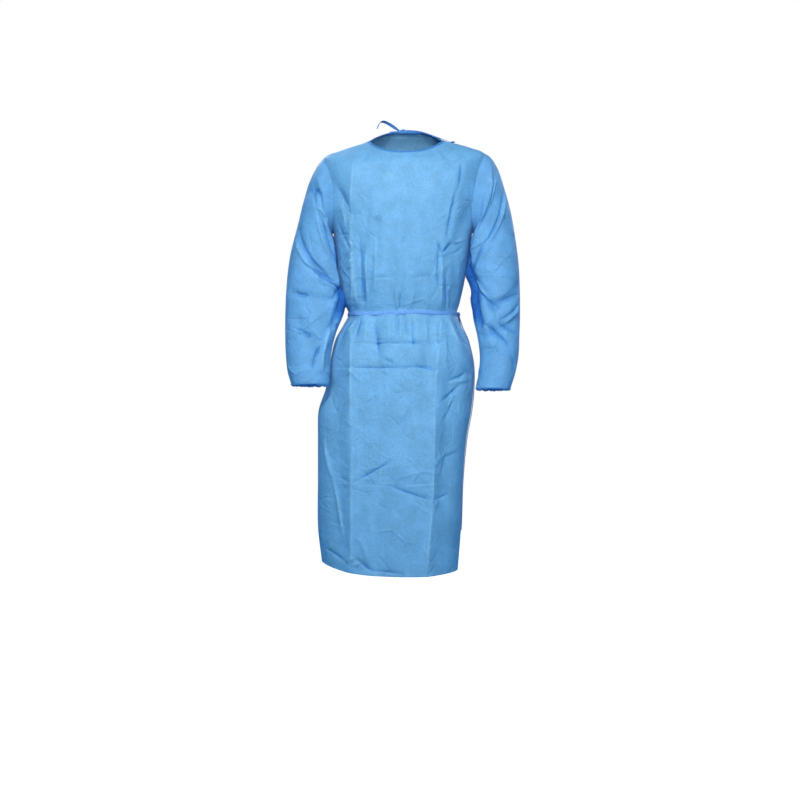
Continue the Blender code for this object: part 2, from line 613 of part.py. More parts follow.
def make_sleeve(side):
    """A tube from the armhole to the cuff, its first ring lapped over the panels' edges."""
    surface = sleeve_surface(side)
    phi = np.linspace(0, 2 * np.pi, SLEEVE_SIDES, endpoint=False)[None, :]
    s = len(SLEEVES[side]) * np.linspace(0, 1, SLEEVE_ROWS + 1)[:, None] ** 0.9
    phi, s = np.broadcast_arrays(phi, s)
    outer = surface(phi, s)
    out = SIDES[side] * normals(surface, phi, s)
    out[0] = armhole_ring(side, phi[0])[1]
    inner = outer - out * CLOTH
    inner[-1, :, 2] = outer[-1, :, 2]
    if side == "right":
        outer, inner = outer[:, ::-1], inner[:, ::-1]
    wall_object(f"sleeve_{side}", outer, inner, "cloth", round_it=True)


def cuff_surface(side):
    """The gathered sleeve end, phi round it and v through the rows of its table."""
    def gathered(phi, v):
        phi, v = np.broadcast_arrays(np.asarray(phi, float), np.asarray(v, float))
        x_out, z_end, x_in, _, y, _ = SLEEVES[side][-1]
        end = sleeve_surface(side)(phi, np.full_like(phi, float(len(SLEEVES[side]))))
        centre = np.array([SIDES[side] * (x_out + x_in) / 2, y])
        away = end[..., :2] - centre
        inward = smooth([row[0] for row in CUFF], v)[..., None]
        radius = np.linalg.norm(away, axis=-1, keepdims=True)
        plan = away * (1 - inward) + away / radius * CUFF_OPENING * inward
        gather = GATHER_HEIGHT * smooth([row[2] for row in CUFF], v) * np.cos(CUFF_GATHERS * phi)
        level = z_end + smooth([row[1] for row in CUFF], v) + gather
        plan = plan * (1 + gather * GATHER_SPREAD)[..., None] + centre
        return np.concatenate([plan, level[..., None]], -1)

    return gathered


def make_cuff(side):
    """The lip under the sleeve's end, turned in to the elastic round the wrist."""
    surface = cuff_surface(side)
    phi = np.linspace(0, 2 * np.pi, CUFF_SIDES, endpoint=False)[None, :]
    phi, v = np.broadcast_arrays(phi, np.arange(len(CUFF), dtype=float)[:, None])
    outer = surface(phi, v)
    out = SIDES[side] * normals(surface, phi, v)
    inner = outer - out * CLOTH
    inner[0, :, 2] = outer[0, :, 2]
    if side == "right":
        outer, inner = outer[:, ::-1], inner[:, ::-1]
    wall_object(f"cuff_{side}", outer, inner, "elastic", round_it=True)


for old in list(bpy.data.objects):
    bpy.data.objects.remove(old)
bpy.context.scene.collection.children.link(bpy.data.collections.new(GOWN))
make_body()
make_neck_binding()
make_neck_ties()
make_belt()
make_belt_knot_and_tails()
for wearer_side in SIDES:
    make_sleeve(wearer_side)
    make_cuff(wearer_side)
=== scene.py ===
import math

import bpy
import numpy as np
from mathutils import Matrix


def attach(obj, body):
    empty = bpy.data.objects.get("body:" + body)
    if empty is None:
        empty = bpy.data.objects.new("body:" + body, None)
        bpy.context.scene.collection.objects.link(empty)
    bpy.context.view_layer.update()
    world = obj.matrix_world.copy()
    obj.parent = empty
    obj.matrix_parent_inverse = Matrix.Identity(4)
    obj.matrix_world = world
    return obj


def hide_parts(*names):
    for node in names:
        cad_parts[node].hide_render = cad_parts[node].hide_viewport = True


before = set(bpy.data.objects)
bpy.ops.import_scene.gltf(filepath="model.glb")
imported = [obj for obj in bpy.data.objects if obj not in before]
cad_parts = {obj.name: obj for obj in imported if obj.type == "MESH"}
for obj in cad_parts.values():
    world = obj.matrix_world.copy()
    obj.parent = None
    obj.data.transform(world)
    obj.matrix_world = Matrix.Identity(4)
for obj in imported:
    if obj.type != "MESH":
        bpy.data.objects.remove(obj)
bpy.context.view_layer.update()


# The view and the studio
# The camera stands level, a few metres in front of the gown, at the height of the hips. The floor and
# the surroundings are plain white. Two soft lights stand in front of the gown and two behind it.
camera_data = bpy.data.cameras.new("camera")
camera_data.lens = 90.0
camera_data.sensor_width = 36.0
camera_data.clip_end = 60.0
camera = bpy.data.objects.new("camera", camera_data)
camera.location = (-0.0075, -5.0, -0.6475)
camera.rotation_euler = (math.radians(90.0), 0.0, 0.0)
bpy.context.scene.collection.objects.link(camera)
bpy.context.scene.camera = camera
bpy.context.scene.view_settings.view_transform = "Standard"

world = bpy.data.worlds.new("white_surroundings")
bpy.context.scene.world = world
world.use_nodes = True
nodes, links = world.node_tree.nodes, world.node_tree.links
seen, ambient = nodes["Background"], nodes.new("ShaderNodeBackground")
seen.inputs["Color"].default_value = (1.0, 1.0, 1.0, 1.0)
seen.inputs["Strength"].default_value = 1.0
ambient.inputs["Color"].default_value = (0.14, 0.50, 0.95, 1.0)
ambient.inputs["Strength"].default_value = 0.42
mix, path = nodes.new("ShaderNodeMixShader"), nodes.new("ShaderNodeLightPath")
links.new(path.outputs["Is Camera Ray"], mix.inputs["Fac"])
links.new(ambient.outputs["Background"], mix.inputs[1])
links.new(seen.outputs["Background"], mix.inputs[2])
links.new(mix.outputs["Shader"], nodes["World Output"].inputs["Surface"])


def soft_light(name, place, aim, size, power, spread=math.pi):
    """A square area light of the given side, turned to face the point aimed at, and its spread."""
    light = bpy.data.objects.new(name, bpy.data.lights.new(name, "AREA"))
    light.data.shape = "SQUARE"
    light.data.size = size
    light.data.energy = power
    light.data.spread = spread
    light.location = place
    away = np.subtract(aim, place)
    flat = math.hypot(away[0], away[1])
    light.rotation_euler = (math.pi / 2 + math.atan2(away[2], flat), 0.0, math.atan2(-away[0], away[1]))
    bpy.context.scene.collection.objects.link(light)


soft_light("key", (-0.5, -3.1, 1.9), (-0.01, 0.0, -0.34), 0.6, 5.1, math.radians(44.0))
soft_light("fill", (0.6, -3.8, 0.1), (0.0, 0.0, -0.60), 0.9, 42.0)
soft_light("rear_right", (-1.6, 2.9, 1.9), (0.0, 0.0, -0.4), 1.0, 44.0)
soft_light("rear_left", (2.2, 2.4, 0.7), (0.0, 0.0, -0.5), 1.2, 16.0)

FLOOR_HEIGHT = -1.58
floor_place = (0.0, 0.0, FLOOR_HEIGHT)
bpy.ops.mesh.primitive_circle_add(vertices=96, radius=9.0, fill_type="NGON", location=floor_place)
floor = bpy.context.object
floor.name = "floor"
floor_paint = bpy.data.materials.new("white_floor")
floor_paint.use_nodes = True
floor_shader = floor_paint.node_tree.nodes["Principled BSDF"]
floor_shader.inputs["Base Color"].default_value = (0.80, 0.80, 0.80, 1.0)
floor_shader.inputs["Roughness"].default_value = 0.9
floor_shader.inputs["Emission Color"].default_value = (1.0, 1.0, 1.0, 1.0)
floor_shader.inputs["Emission Strength"].default_value = 1.0
floor.visible_diffuse = False
floor.visible_glossy = False
floor.data.materials.append(floor_paint)


# The body: a front and two backs
# They are cut from one light blue spunbond non-woven, which was folded flat in its pack and keeps the
# pressed folds. The front runs from side seam to side seam, and the backs wrap left over right.
CLOTH = 0.0005
WALL = 0.0015
SEAM = 0.0003
WRAP_GAP = 0.0006

# Level rings, hem to neck: heights at the front, right, left and back, then the reach to the right,
# left, front and back, and how square the ring is
RING_COLUMNS = ("z_front", "z_right", "z_left", "z_back", "right", "left", "front", "back", "square")
RINGS = {
    "hem": (-1.078, -1.048, -1.068, -1.072, 0.203, 0.137, 0.142, 0.150, 2.5),
    "low skirt": (-0.965, -0.960, -0.963, -0.965, 0.2125, 0.145, 0.146, 0.154, 2.5),
    "knee": (-0.848, -0.848, -0.848, -0.848, 0.2125, 0.149, 0.146, 0.153, 2.5),
    "thigh": (-0.745, -0.745, -0.745, -0.745, 0.2125, 0.158, 0.142, 0.150, 2.5),
    "below cuffs": (-0.675, -0.675, -0.675, -0.675, 0.211, 0.170, 0.137, 0.146, 2.5),
    "cuffs": (-0.618, -0.618, -0.618, -0.618, 0.193, 0.176, 0.132, 0.141, 2.5),
    "hip": (-0.558, -0.558, -0.558, -0.558, 0.183, 0.176, 0.127, 0.134, 2.5),
    "high hip": (-0.500, -0.500, -0.500, -0.500, 0.170, 0.163, 0.119, 0.122, 2.4),
    "below belt": (-0.462, -0.462, -0.462, -0.462, 0.150, 0.145, 0.111, 0.107, 2.3),
    "belt": (-0.4335, -0.4335, -0.4335, -0.4335, 0.1365, 0.1345, 0.103, 0.096, 2.25),
    "above belt": (-0.406, -0.406, -0.406, -0.406, 0.147, 0.1415, 0.110, 0.103, 2.3),
    "ribs": (-0.365, -0.365, -0.365, -0.365, 0.160, 0.151, 0.118, 0.110, 2.35),
    "chest": (-0.300, -0.300, -0.300, -0.300, 0.167, 0.163, 0.125, 0.118, 2.4),
    "armpit": (-0.2275, -0.2275, -0.2275, -0.2275, 0.1745, 0.1735, 0.127, 0.122, 2.4),
    "low armhole": (-0.182, -0.176, -0.176, -0.176, 0.186, 0.186, 0.126, 0.121, 2.4),
    "mid armhole": (-0.138, -0.124, -0.121, -0.122, 0.194, 0.196, 0.122, 0.117, 2.4),
    "high armhole": (-0.102, -0.078, -0.071, -0.070, 0.198, 0.2025, 0.116, 0.110, 2.4),
    "shoulder tip": (-0.074, -0.043, -0.033, -0.030, 0.1965, 0.2025, 0.108, 0.100, 2.3),
    "mid shoulder": (-0.054, -0.027, -0.0185, -0.003, 0.160, 0.170, 0.098, 0.088, 2.2),
    "neck slope": (-0.044, -0.014, -0.008, 0.017, 0.122, 0.135, 0.087, 0.075, 2.1),
    "neck": (-0.0335, -0.002, 0.000, 0.033, 0.0845, 0.100, 0.076, 0.062, 2.0),
}
# Numbers of rings that serve as stations. The slope up to the neck is measured at BY_NECK.
BELT_RING = list(RINGS).index("belt")
CHEST = list(RINGS).index("chest")
ARMPIT = list(RINGS).index("armpit")
SHOULDER_TIP = list(RINGS).index("shoulder tip")
NECK = list(RINGS).index("neck")
BY_NECK = NECK - 0.05
SIDE_LIFT = 2.8
SIDE = math.pi / 2
ARMHOLE = math.radians(28.0)
WRAP = math.radians(22.0)
TUCK = (math.radians(118.0), math.radians(156.0))
SEAM_DEPTH = 0.0018
SEAM_SPREAD = math.radians(1.2)
SEAM_FADE = 0.5
BINDING_WIDTH = 0.0075
BINDING_THICK = 0.0026

# Creases, in millimetres: two ends (x, z), how far the middle bows aside, half width and height out
# (or in). The last column is 1 for a sharp pressed fold and 2 for a soft wave.
FRONT_FOLDS = [
    # Long soft folds, also in the solids, some deeper there
    (-125, -60, -132, -300, 0, 17, 3.5, 2),
    (-130, -480, -128, -1060, 0, 19, 5, 2),
    (145, -60, 110, -270, 0, 19, 4, 2),
    (94, -470, 60, -1080, 0, 20, 5, 2),
    (-170, -115, -130, -190, 0, 14, -3.5, 2),
    (165, -180, 108, -300, 0, 16, -4.5, 2),
    (-108, -250, -112, -420, 0, 13, -3, 2),
    (-70, -330, -75, -425, 0, 14, 2.7, 2),
    (-30, -350, -36, -425, 0, 13, -2.4, 2),
    (45, -350, 40, -425, 0, 14, -2.4, 2),
    (94, -260, 88, -420, 0, 13, 3, 2),
    (-118, -440, -158, -510, 0, 13, -3.3, 2),
    (-98, -440, -112, -580, 0, 14, 3.3, 2),
    (-70, -440, -62, -560, 0, 13, -3.3, 2),
    (-35, -440, -40, -540, 0, 14, 2.7, 2),
    (-6, -440, -2, -560, 0, 13, -3, 2),
    (30, -440, 36, -540, 0, 14, 2.7, 2),
    (70, -440, 64, -570, 0, 13, -3.3, 2),
    (115, -440, 142, -560, 0, 14, 3.3, 2),
    (-172, -620, -150, -1000, 0, 26, -6.5, 2),
    (120, -600, 95, -900, 0, 24, -6.5, 2),
    (-55, -720, -60, -1070, 0, 41, -4.5, 2),
    (15, -820, 20, -1080, 0, 36, 4.5, 2),
    # Soft bands down the middle of the chest, and the hollow right of them
    (-10, -150, -9, -420, 1, 9, 1.7, 2),
    (11, -170, 7, -420, 2, 8, -1.8, 2),
    (-36, -180, -40, -330, 4, 11, -1.6, 2),
    (40, -190, 46, -330, -4, 12, 1.8, 2),
    (-64, -213, -95, -404, 6, 11, -5.2, 2),
    (-66, -225, -66, -400, -3, 3.4, 3.6, 1),
    # Folds pressed in by the pack: two upright ones and two level ones
    (-122, -62, -130, -180, 2, 3.4, 4.8, 1),
    (-128, -165, -126, -423, 2, 3.4, 4.7, 1),
    (-125, -452, -125, -750, -1, 3.7, 4.8, 1),
    (-125, -735, -126, -1066, 1, 3.7, 4.8, 1),
    (141, -66, 134, -128, 2, 3.4, -4.8, 1),
    (131, -130, 107, -256, -4, 3.9, -4.8, 1),
    (93, -424, 94, -286, 1, 3.4, 4.8, 1),
    (88, -508, 92, -446, 1, 3.7, 4.8, 1),
    (75.5, -650, 88, -505, 2, 3.7, 4.8, 1),
    (74.2, -822, 75.7, -640, 1, 3.7, 4.8, 1),
    (71, -896, 74.2, -812, 1, 3.7, 4.8, 1),
    (55, -1086, 71, -884, 1, 3.7, 4.8, 1),
    (-112, -510, 114, -508, 1, 2.6, -3.4, 1),
    (-168, -568, 92, -565, -2, 2.8, -3.8, 1),
    (-175, -852, 128, -856, 1, 2.4, 2.5, 1),
    (50, -69, 139, -64, 1.5, 2.6, 3.6, 1),
    (-118, -75, -60, -60, 2, 2.6, 2.5, 1),
    # Pulls from the neck, the shoulders and the armholes
    (-78, -30, -94, -78, 2, 6, 2.4, 2),
    (82, -34, 110, -75, -2, 6, 2.6, 2),
    (20, -34, 60, -60, 3, 7, 1.4, 2),
    (-80, -36, -98, -58, 1, 2.4, -2.5, 1),
    (-166, -122, -128, -192, 3, 3.4, -4.3, 1),
    (-162, -150, -136, -232, 4, 3.4, 3.6, 1),
    (-160, -210, -122, -286, -3, 3.4, -4.7, 1),
    (-152, -262, -118, -268, 3, 2.6, 2.8, 1),
    (-148, -300, -116, -280, 2, 2.6, -2.8, 1),
    (-145, -330, -118, -300, 2, 2.6, 2.5, 1),
    (-86, -190, -104, -300, 4, 9, -2.6, 2),
    (-68, -120, -82, -240, 3, 10, 1.8, 2),
    (150, -252, 119, -262, 2, 2.8, 3.5, 1),
    (120, -262, 95, -290, -1, 3.4, -4.8, 1),
    (80, -258, 94, -290, 1, 2.8, -3.6, 1),
    (126, -256, 112, -234, 1, 2.6, 3, 1),
    (146, -268, 122, -290, 2, 2.6, -2.5, 1),
    (118, -140, 106, -215, 3, 3.4, 2.5, 1),
    (86, -265, 87, -386, -2, 3, -4.8, 1),
    (128, -300, 120, -415, 3, 8, -2.2, 2),
    # Cloth drawn in above the belt
    (-109, -240, -104, -426, 3, 3.7, -4.8, 1),
    (-90, -262, -88, -424, -2, 3.7, 4.8, 1),
    (-122, -300, -112, -424, -3, 3.4, 4.3, 1),
    (-97, -330, -100, -426, 1, 2.6, -4.8, 1),
    (-55, -350, -60, -424, 2, 6, -1.4, 2),
    (-18, -372, -14, -428, 1, 2.6, 3.6, 1),
    (-4, -380, -9, -428, -1, 2.6, -3.6, 1),
    (20, -340, 14, -424, 2, 7, 1.3, 2),
    (62, -330, 60, -424, -2, 7, 1.4, 2),
    (104, -340, 106, -424, 1, 3.4, -4.7, 1),
    # Pleats that fan out below the belt
    (-120, -444, -160, -503, -3, 3.2, -4.8, 1),
    (-113, -444, -134, -488, -2, 3, 4.8, 1),
    (-104, -444, -118, -500, 2, 2.8, -4.7, 1),
    (-90, -444, -94, -520, 1, 3.2, 4, 1),
    (-73, -444, -59, -548, 2, 3.4, -4.8, 1),
    (-37, -444, -31, -518, 1, 3.2, 3.4, 1),
    (-13, -440, -15, -492, 1, 2.6, -4.3, 1),
    (-7, -442, -5, -512, 1, 2.6, 4.8, 1),
    (2, -442, 7, -492, 1, 2.6, -3.5, 1),
    (22, -444, 28, -534, -2, 3.4, -3.6, 1),
    (53, -444, 62, -520, 1, 3.4, 3.4, 1),
    (83, -444, 86, -530, 1, 2.8, -4.3, 1),
    (110, -444, 148, -528, -4, 3.4, 4.8, 1),
    (124, -444, 164, -520, -3, 3, -4.8, 1),
    # Broken folds over the hips and the thighs
    (146, -606, 88, -654, 2, 3.2, -4.8, 1),
    (158, -580, 108, -602, 2, 2.8, -4, 1),
    (160, -600, 120, -606, -1, 2.6, 3.5, 1),
    (96, -556, 120, -590, 1, 2.6, 3, 1),
    (100, -480, 106, -560, 1, 3, 2.8, 1),
    (128, -640, 100, -700, 2, 3, -3, 1),
    (-50, -548, -20, -562, 2, 2.6, -3.4, 1),
    (30, -566, 92, -574, -2, 2.8, -3.4, 1),
    (-130, -572, -108, -600, 1, 2.8, 2.8, 1),
    (-52, -572, -54, -660, 2, 6, -2.8, 2),
    (40, -580, 52, -700, 3, 8, -2, 2),
    (-196, -735, -175, -842, -2, 3, 4.8, 1),
    (-175, -830, -147, -990, 1, 3, 4.8, 1),
    (-124, -853, -23, -794, 2, 3, -4.8, 1),
    (-118, -853, -30, -856, 1, 2.6, -3.6, 1),
    (-34, -856, 71, -850, -1, 2.6, -3.5, 1),
    (-34, -855, 74, -892, -2, 3, -4.8, 1),
    (72, -892, 120, -874, -1, 2.8, -4, 1),
    (-20, -840, 60, -822, 3, 3.4, 2.5, 1),
    (20, -900, 66, -926, 2, 3.4, 2.5, 1),
    (-160, -838, -128, -850, 1, 2.6, -2.6, 1),
    (80, -800, 124, -770, 2, 6, 2.2, 2),
    (-90, -900, -80, -990, 3, 9, 1.6, 2),
    # The crumpled hem
    (-196, -1012, -136, -1046, 2, 3, -4.3, 1),
    (-136, -1044, -118, -1030, 1, 2.6, 4.1, 1),
    (-118, -1028, -72, -1066, -3, 3, -4.8, 1),
    (-124, -1052, -100, -1044, 1, 2.6, 3.6, 1),
    (-73, -1064, 12, -1072, 1, 2.6, -2.6, 1),
    (-104, -990, -88, -1040, 2, 5, 3, 2),
]
BACK_FOLDS = [
    # Long soft folds, also in the solids, some deeper there
    (-120, -80, -115, -330, 0, 20, 5, 2),
    (118, -80, 122, -330, 0, 20, 5, 2),
    (-150, -200, -105, -300, 0, 17, -4.5, 2),
    (150, -200, 110, -310, 0, 17, -4.5, 2),
    (-100, -300, -90, -425, 0, 16, -6, 2),
    (-55, -330, -50, -425, 0, 16, 6, 2),
    (-12, -330, -14, -425, 0, 14, -5, 2),
    (40, -330, 36, -425, 0, 16, 6, 2),
    (88, -310, 78, -425, 0, 14, -6, 2),
    (-95, -440, -130, -620, 0, 18, 7.5, 2),
    (-65, -440, -80, -580, 0, 16, -6.5, 2),
    (-20, -440, -28, -640, 0, 18, 6.5, 2),
    (20, -440, 22, -560, 0, 16, -6.5, 2),
    (62, -440, 72, -640, 0, 18, 7.5, 2),
    (100, -440, 128, -560, 0, 16, -6, 2),
    (-150, -640, -150, -1060, 0, 29, -7.5, 2),
    (-50, -700, -60, -1070, 0, 36, 6.5, 2),
    (85, -660, 80, -1070, 0, 31, -7.5, 2),
    # Pressed folds of the pack
    (-122, -50, -120, -420, 2, 3.4, 2.8, 1),
    (-122, -450, -124, -1066, -2, 3.9, 3.9, 1),
    (118, -50, 112, -420, -2, 3.4, 2.8, 1),
    (100, -450, 70, -1066, 2, 3.9, 3.9, 1),
    (-150, -509, 140, -507, 1, 2.8, 1.6, 1),
    (-165, -853, 120, -856, 1, 2.8, 1.6, 1),
    # Pulls from the armholes and the neck
    (-165, -130, -108, -190, 3, 3.9, -3, 1),
    (-162, -180, -112, -262, 3, 3.4, 2.3, 1),
    (168, -130, 112, -186, 3, 3.9, -3, 1),
    (160, -190, 104, -270, -3, 3.4, 2.6, 1),
    (-40, 0, -70, -70, 3, 7, 1.8, 2),
    (34, 2, 66, -62, -3, 7, 1.8, 2),
    (-10, -20, -16, -160, 3, 8, -2, 2),
    # Cloth drawn in above and below the belt
    (-110, -300, -104, -426, 3, 3.4, -4.2, 1),
    (-78, -320, -72, -426, 2, 3.4, 3.9, 1),
    (-34, -340, -30, -426, -2, 3.4, -3.9, 1),
    (8, -350, 10, -426, 1, 3.4, 3.9, 1),
    (58, -330, 56, -426, 2, 3.4, -3.9, 1),
    (104, -300, 94, -426, -2, 3.4, 3.9, 1),
    (-112, -442, -146, -530, -3, 3.4, -4.2, 1),
    (-80, -442, -98, -560, 2, 3.4, 4.2, 1),
    (-44, -442, -52, -550, 2, 3.4, -4.2, 1),
    (0, -442, -2, -560, 1, 3.4, 4.2, 1),
    (40, -442, 48, -550, -2, 3.4, -4.2, 1),
    (84, -442, 104, -560, -2, 3.4, 4.2, 1),
    (112, -442, 146, -530, 3, 3.4, -4.2, 1),
    # Seat and sitting creases
    (-140, -640, -40, -672, 4, 3.4, -3, 1),
    (-50, -668, 50, -640, -3, 3.4, -2.6, 1),
    (40, -652, 128, -700, 2, 3.4, 2.8, 1),
    (-100, -780, -10, -820, 3, 3.4, -3, 1),
    (4, -800, 100, -760, -2, 3.4, -3, 1),
    (-160, -1020, -90, -1050, 2, 3.4, -3, 1),
    (30, -1040, 110, -1020, 2, 3.4, 2.8, 1),
]


def cubic(start, end, slope_start, slope_end, f):
    """Cubic from start to end as f goes from 0 to 1, with the given slope at each."""
    leaving = start * (1 + 2 * f) * (1 - f) ** 2 + slope_start * f * (1 - f) ** 2
    return leaving + (end * f**2 * (3 - 2 * f) - slope_end * f**2 * (1 - f))


def curve_through(values, t):
    """Cubic curve through the values at t = 0, 1, 2 and on, its slope the mean of both sides'."""
    values = np.asarray(values, float)
    slope = np.gradient(values, axis=0)
    i = np.clip(np.floor(t).astype(int), 0, len(values) - 2)
    f = np.reshape(t - i, np.shape(t) + (1,) * (values.ndim - 1))
    return cubic(values[i], values[i + 1], slope[i], slope[i + 1], f)


def ease(low, high, value):
    """0 below low, 1 above high, and 3f^2 - 2f^3 between them."""
    f = np.clip((value - low) / (high - low), 0.0, 1.0)
    return f * f * (3 - 2 * f)


def signed_power(value, power):
    """The value's size raised to the power, with its sign kept."""
    return np.sign(value) * np.abs(value) ** power


def ring_column(column, t):
    """One column of the body's rings at station t."""
    return curve_through([row[RING_COLUMNS.index(column)] for row in RINGS.values()], t)


MM = 1000.0
PRESSED, SOFT = 1, 2
# A pressed fold: the rounding of its crest in millimetres, how much narrower and wider than its half
# width its two sides are, and the shares of its length from an end in which it grows to its height
CREST = 0.6
STEEP_SIDE = 0.8
GENTLE_SIDE = 1.5
END_FADE = (-0.12, 0.35)


def crease_height(table, x, z, power):
    """Sum of the creases of one sharpness at (x, z), in metres, d from each one's bowed line.

    A soft fold is height * exp(-(d / width)^2). A pressed one is height * exp(-d / width), with a
    narrower width on its steep side than on its gentle one, and it fades towards its ends.
    """
    x, z = x * MM, z * MM
    height = np.zeros_like(x)
    for x_a, z_a, x_b, z_b, bow, width, tall, sharp in table:
        if sharp != power:
            continue
        run_x, run_z = x_b - x_a, z_b - z_a
        length = math.hypot(run_x, run_z)
        f = ((x - x_a) * run_x + (z - z_a) * run_z) / length**2
        side = ((z - z_a) * run_x - (x - x_a) * run_z) / length
        g = np.clip(f, 0.0, 1.0)
        side = side - bow * 4 * g * (1 - g)
        d = np.hypot(np.hypot(side, (f - g) * length), CREST) - CREST
        if power == SOFT:
            height += tall * np.exp(-((d / width) ** 2))
        else:
            fade = ease(*END_FADE, np.minimum(g, 1 - g))
            slope = np.where(side * tall > 0, STEEP_SIDE, GENTLE_SIDE)
            height += tall * fade * np.exp(-d / (width * slope))
    return height / MM


def crumple_table(seed, count, x_range, z_range, slant):
    """Rows of small random creases, 15 to 75 mm long, spread over an area and mostly near a slant."""
    draw = np.random.default_rng(seed)
    x = draw.uniform(*x_range, count)
    z = draw.uniform(*z_range, count)
    length = draw.uniform(15, 75, count)
    angle = draw.normal(slant, 0.9, count)
    width = draw.uniform(2.5, 5.0, count)
    tall = draw.uniform(0.3, 1.5, count) * draw.choice([-1.0, 1.0], count)
    bow = draw.uniform(-4, 4, count)
    ends = (x, z, x + length * np.cos(angle), z + length * np.sin(angle))
    return [(*row, PRESSED) for row in np.stack([*ends, bow, width, tall], -1)]


def billow(x, z, phase):
    """Slow uneven swell of hanging cloth: three crossed waves 9 to 25 cm long, 1.5 mm high in all."""
    wave = np.sin(25 * x + 9 * z + phase) + np.sin(-17 * x + 31 * z + 2 * phase)
    return 0.0005 * (wave + np.sin(57 * x - 23 * z + 3 * phase))


FRONT_CRUMPLE = crumple_table(11, 260, (-200, 180), (-1070, -60), 0.4)
BACK_CRUMPLE = crumple_table(12, 130, (-200, 180), (-1070, -20), -0.4)


def bare_body(a, t):
    """Body surface without creases: a superellipse ring, a radians round from the front at station t."""
    s, c = np.sin(a), np.cos(a)
    reach = np.where(s > 0, ring_column("left", t), ring_column("right", t))
    deep = np.where(c > 0, ring_column("front", t), ring_column("back", t))
    power = 2 / ring_column("square", t)
    across = np.abs(s) ** power
    z_side = np.where(s > 0, ring_column("z_left", t), ring_column("z_right", t))
    z_mid = np.where(c > 0, ring_column("z_front", t), ring_column("z_back", t))
    z = z_mid + (z_side - z_mid) * across**SIDE_LIFT
    return np.stack([reach * np.sign(s) * across, -deep * signed_power(c, power), z], -1)


def normals(surface, u, v, step=1e-3):
    """Unit normals of a surface of two parameters: the cross product of its two central differences."""
    along_u = surface(u + step, v) - surface(u - step, v)
    along_v = surface(u, v + step) - surface(u, v - step)
    normal = np.cross(along_u, along_v)
    return normal / np.linalg.norm(normal, axis=-1, keepdims=True)


# How squarely a point has to face the front or the back for that side's creases to begin and to be
# full, and where the creases calm down: towards the neck's stitching and under the belt
FACING = (0.05, 0.45)
NECK_CALM = (NECK - 1.2, NECK - 0.3)
BELT_CALM = 0.7
BELT_REACH = 0.25


def creased_body(a, t):
    """Body surface with its creases along the bare surface's normal, and its sharp creases' height."""
    a, t = np.broadcast_arrays(np.asarray(a, float), np.asarray(t, float))
    point = bare_body(a, t)
    x, z, c = point[..., 0], point[..., 2], np.cos(a)
    in_front, behind = ease(*FACING, c), ease(*FACING, -c)
    soft = (crease_height(FRONT_FOLDS, x, z, SOFT) + billow(x, z, 0.0)) * in_front
    soft += (crease_height(BACK_FOLDS, x, z, SOFT) + billow(x, z, 2.0)) * behind
    sharp = crease_height(FRONT_FOLDS + FRONT_CRUMPLE, x, z, PRESSED) * in_front
    sharp += crease_height(BACK_FOLDS + BACK_CRUMPLE, x, z, PRESSED) * behind
    below_arm = 1 - ease(ARMPIT - SEAM_FADE, ARMPIT, t)
    sharp -= SEAM_DEPTH * np.exp(-np.abs(np.abs(a) - SIDE) / SEAM_SPREAD) * below_arm
    calm = 1 - BELT_CALM * np.exp(-(((t - BELT_RING) / BELT_REACH) ** 2))
    calm = (1 - ease(*NECK_CALM, t)) * calm
    return point + normals(bare_body, a, t) * ((soft + sharp) * calm)[..., None], sharp * calm


def speed(surface, u, v, which, step=1e-3):
    """Metres that a surface point moves for one unit of its first (0) or second (1) parameter."""
    du, dv = (step, 0) if which == 0 else (0, step)
    return np.linalg.norm(surface(u + du, v + dv) - surface(u - du, v - dv), axis=-1) / (2 * step)


ARC_STEPS = 3000


def even_columns(start, end, count):
    """Angles from start to end, evenly spaced along the chest ring's arc instead of by angle."""
    fine = np.linspace(-1.5 * np.pi, 1.5 * np.pi, ARC_STEPS + 1)
    ring = bare_body(fine, np.full_like(fine, CHEST))
    arc = np.concatenate([[0.0], np.cumsum(np.linalg.norm(np.diff(ring, axis=0), axis=-1))])
    low, high = np.interp(start, fine, arc), np.interp(end, fine, arc)
    return np.interp(low + (high - low) * np.linspace(0, 1, count + 1)[None, :], arc, fine)


def armhole_cut(t):
    """Radians from the side at which a panel ends: half an ellipse round the armhole, else nothing."""
    u = np.clip((t - ARMPIT) / (SHOULDER_TIP - ARMPIT), 0.0, 1.0)
    return ARMHOLE * np.sqrt(np.clip(1 - (2 * u - 1) ** 2, 0, 1))


def panel_top(a):
    """Station at which the panels stop, one seam below the neck binding."""
    return NECK - (BINDING_WIDTH + SEAM) / speed(bare_body, a, np.full_like(a, BY_NECK), 1)


HEIGHT_STEPS = 400
SKIRT_ROWS = 370
ARMHOLE_ROWS = 60
SHOULDER_ROWS = 28
HEM_TURN = 2
FRONT_COLUMNS = 204
BACK_COLUMNS = 150


def panel_points(start, end, columns, inset=lambda a: 0.0 * a):
    """Grid of a panel between its edges start(t) and end(t), and the height of its sharp creases.

    The rows are even in height below the armhole and close together round its two ends, and two more
    turn the hem's edge inwards by the cloth's thickness.
    """
    fine = np.linspace(0, ARMPIT, HEIGHT_STEPS)
    heights = ring_column("z_front", fine)
    skirt = np.interp(np.linspace(heights[0], heights[-1], SKIRT_ROWS), heights, fine)
    armhole = ARMPIT + (SHOULDER_TIP - ARMPIT) * (1 - np.cos(np.linspace(0, np.pi, ARMHOLE_ROWS))) / 2
    shoulder = np.linspace(SHOULDER_TIP, NECK, SHOULDER_ROWS)
    t = np.concatenate([skirt[2:1:-1], skirt[:1], skirt, armhole[1:], shoulder[1:]])[:, None]
    a = even_columns(start(t), end(t), columns)
    t = t + (panel_top(a) - NECK) * ease(SHOULDER_TIP, NECK, t)
    points, sharp = creased_body(a, t)
    inside = inset(a) + CLOTH * (np.arange(len(t)) < HEM_TURN)[:, None]
    return points - normals(bare_body, a, t) * inside[..., None], sharp


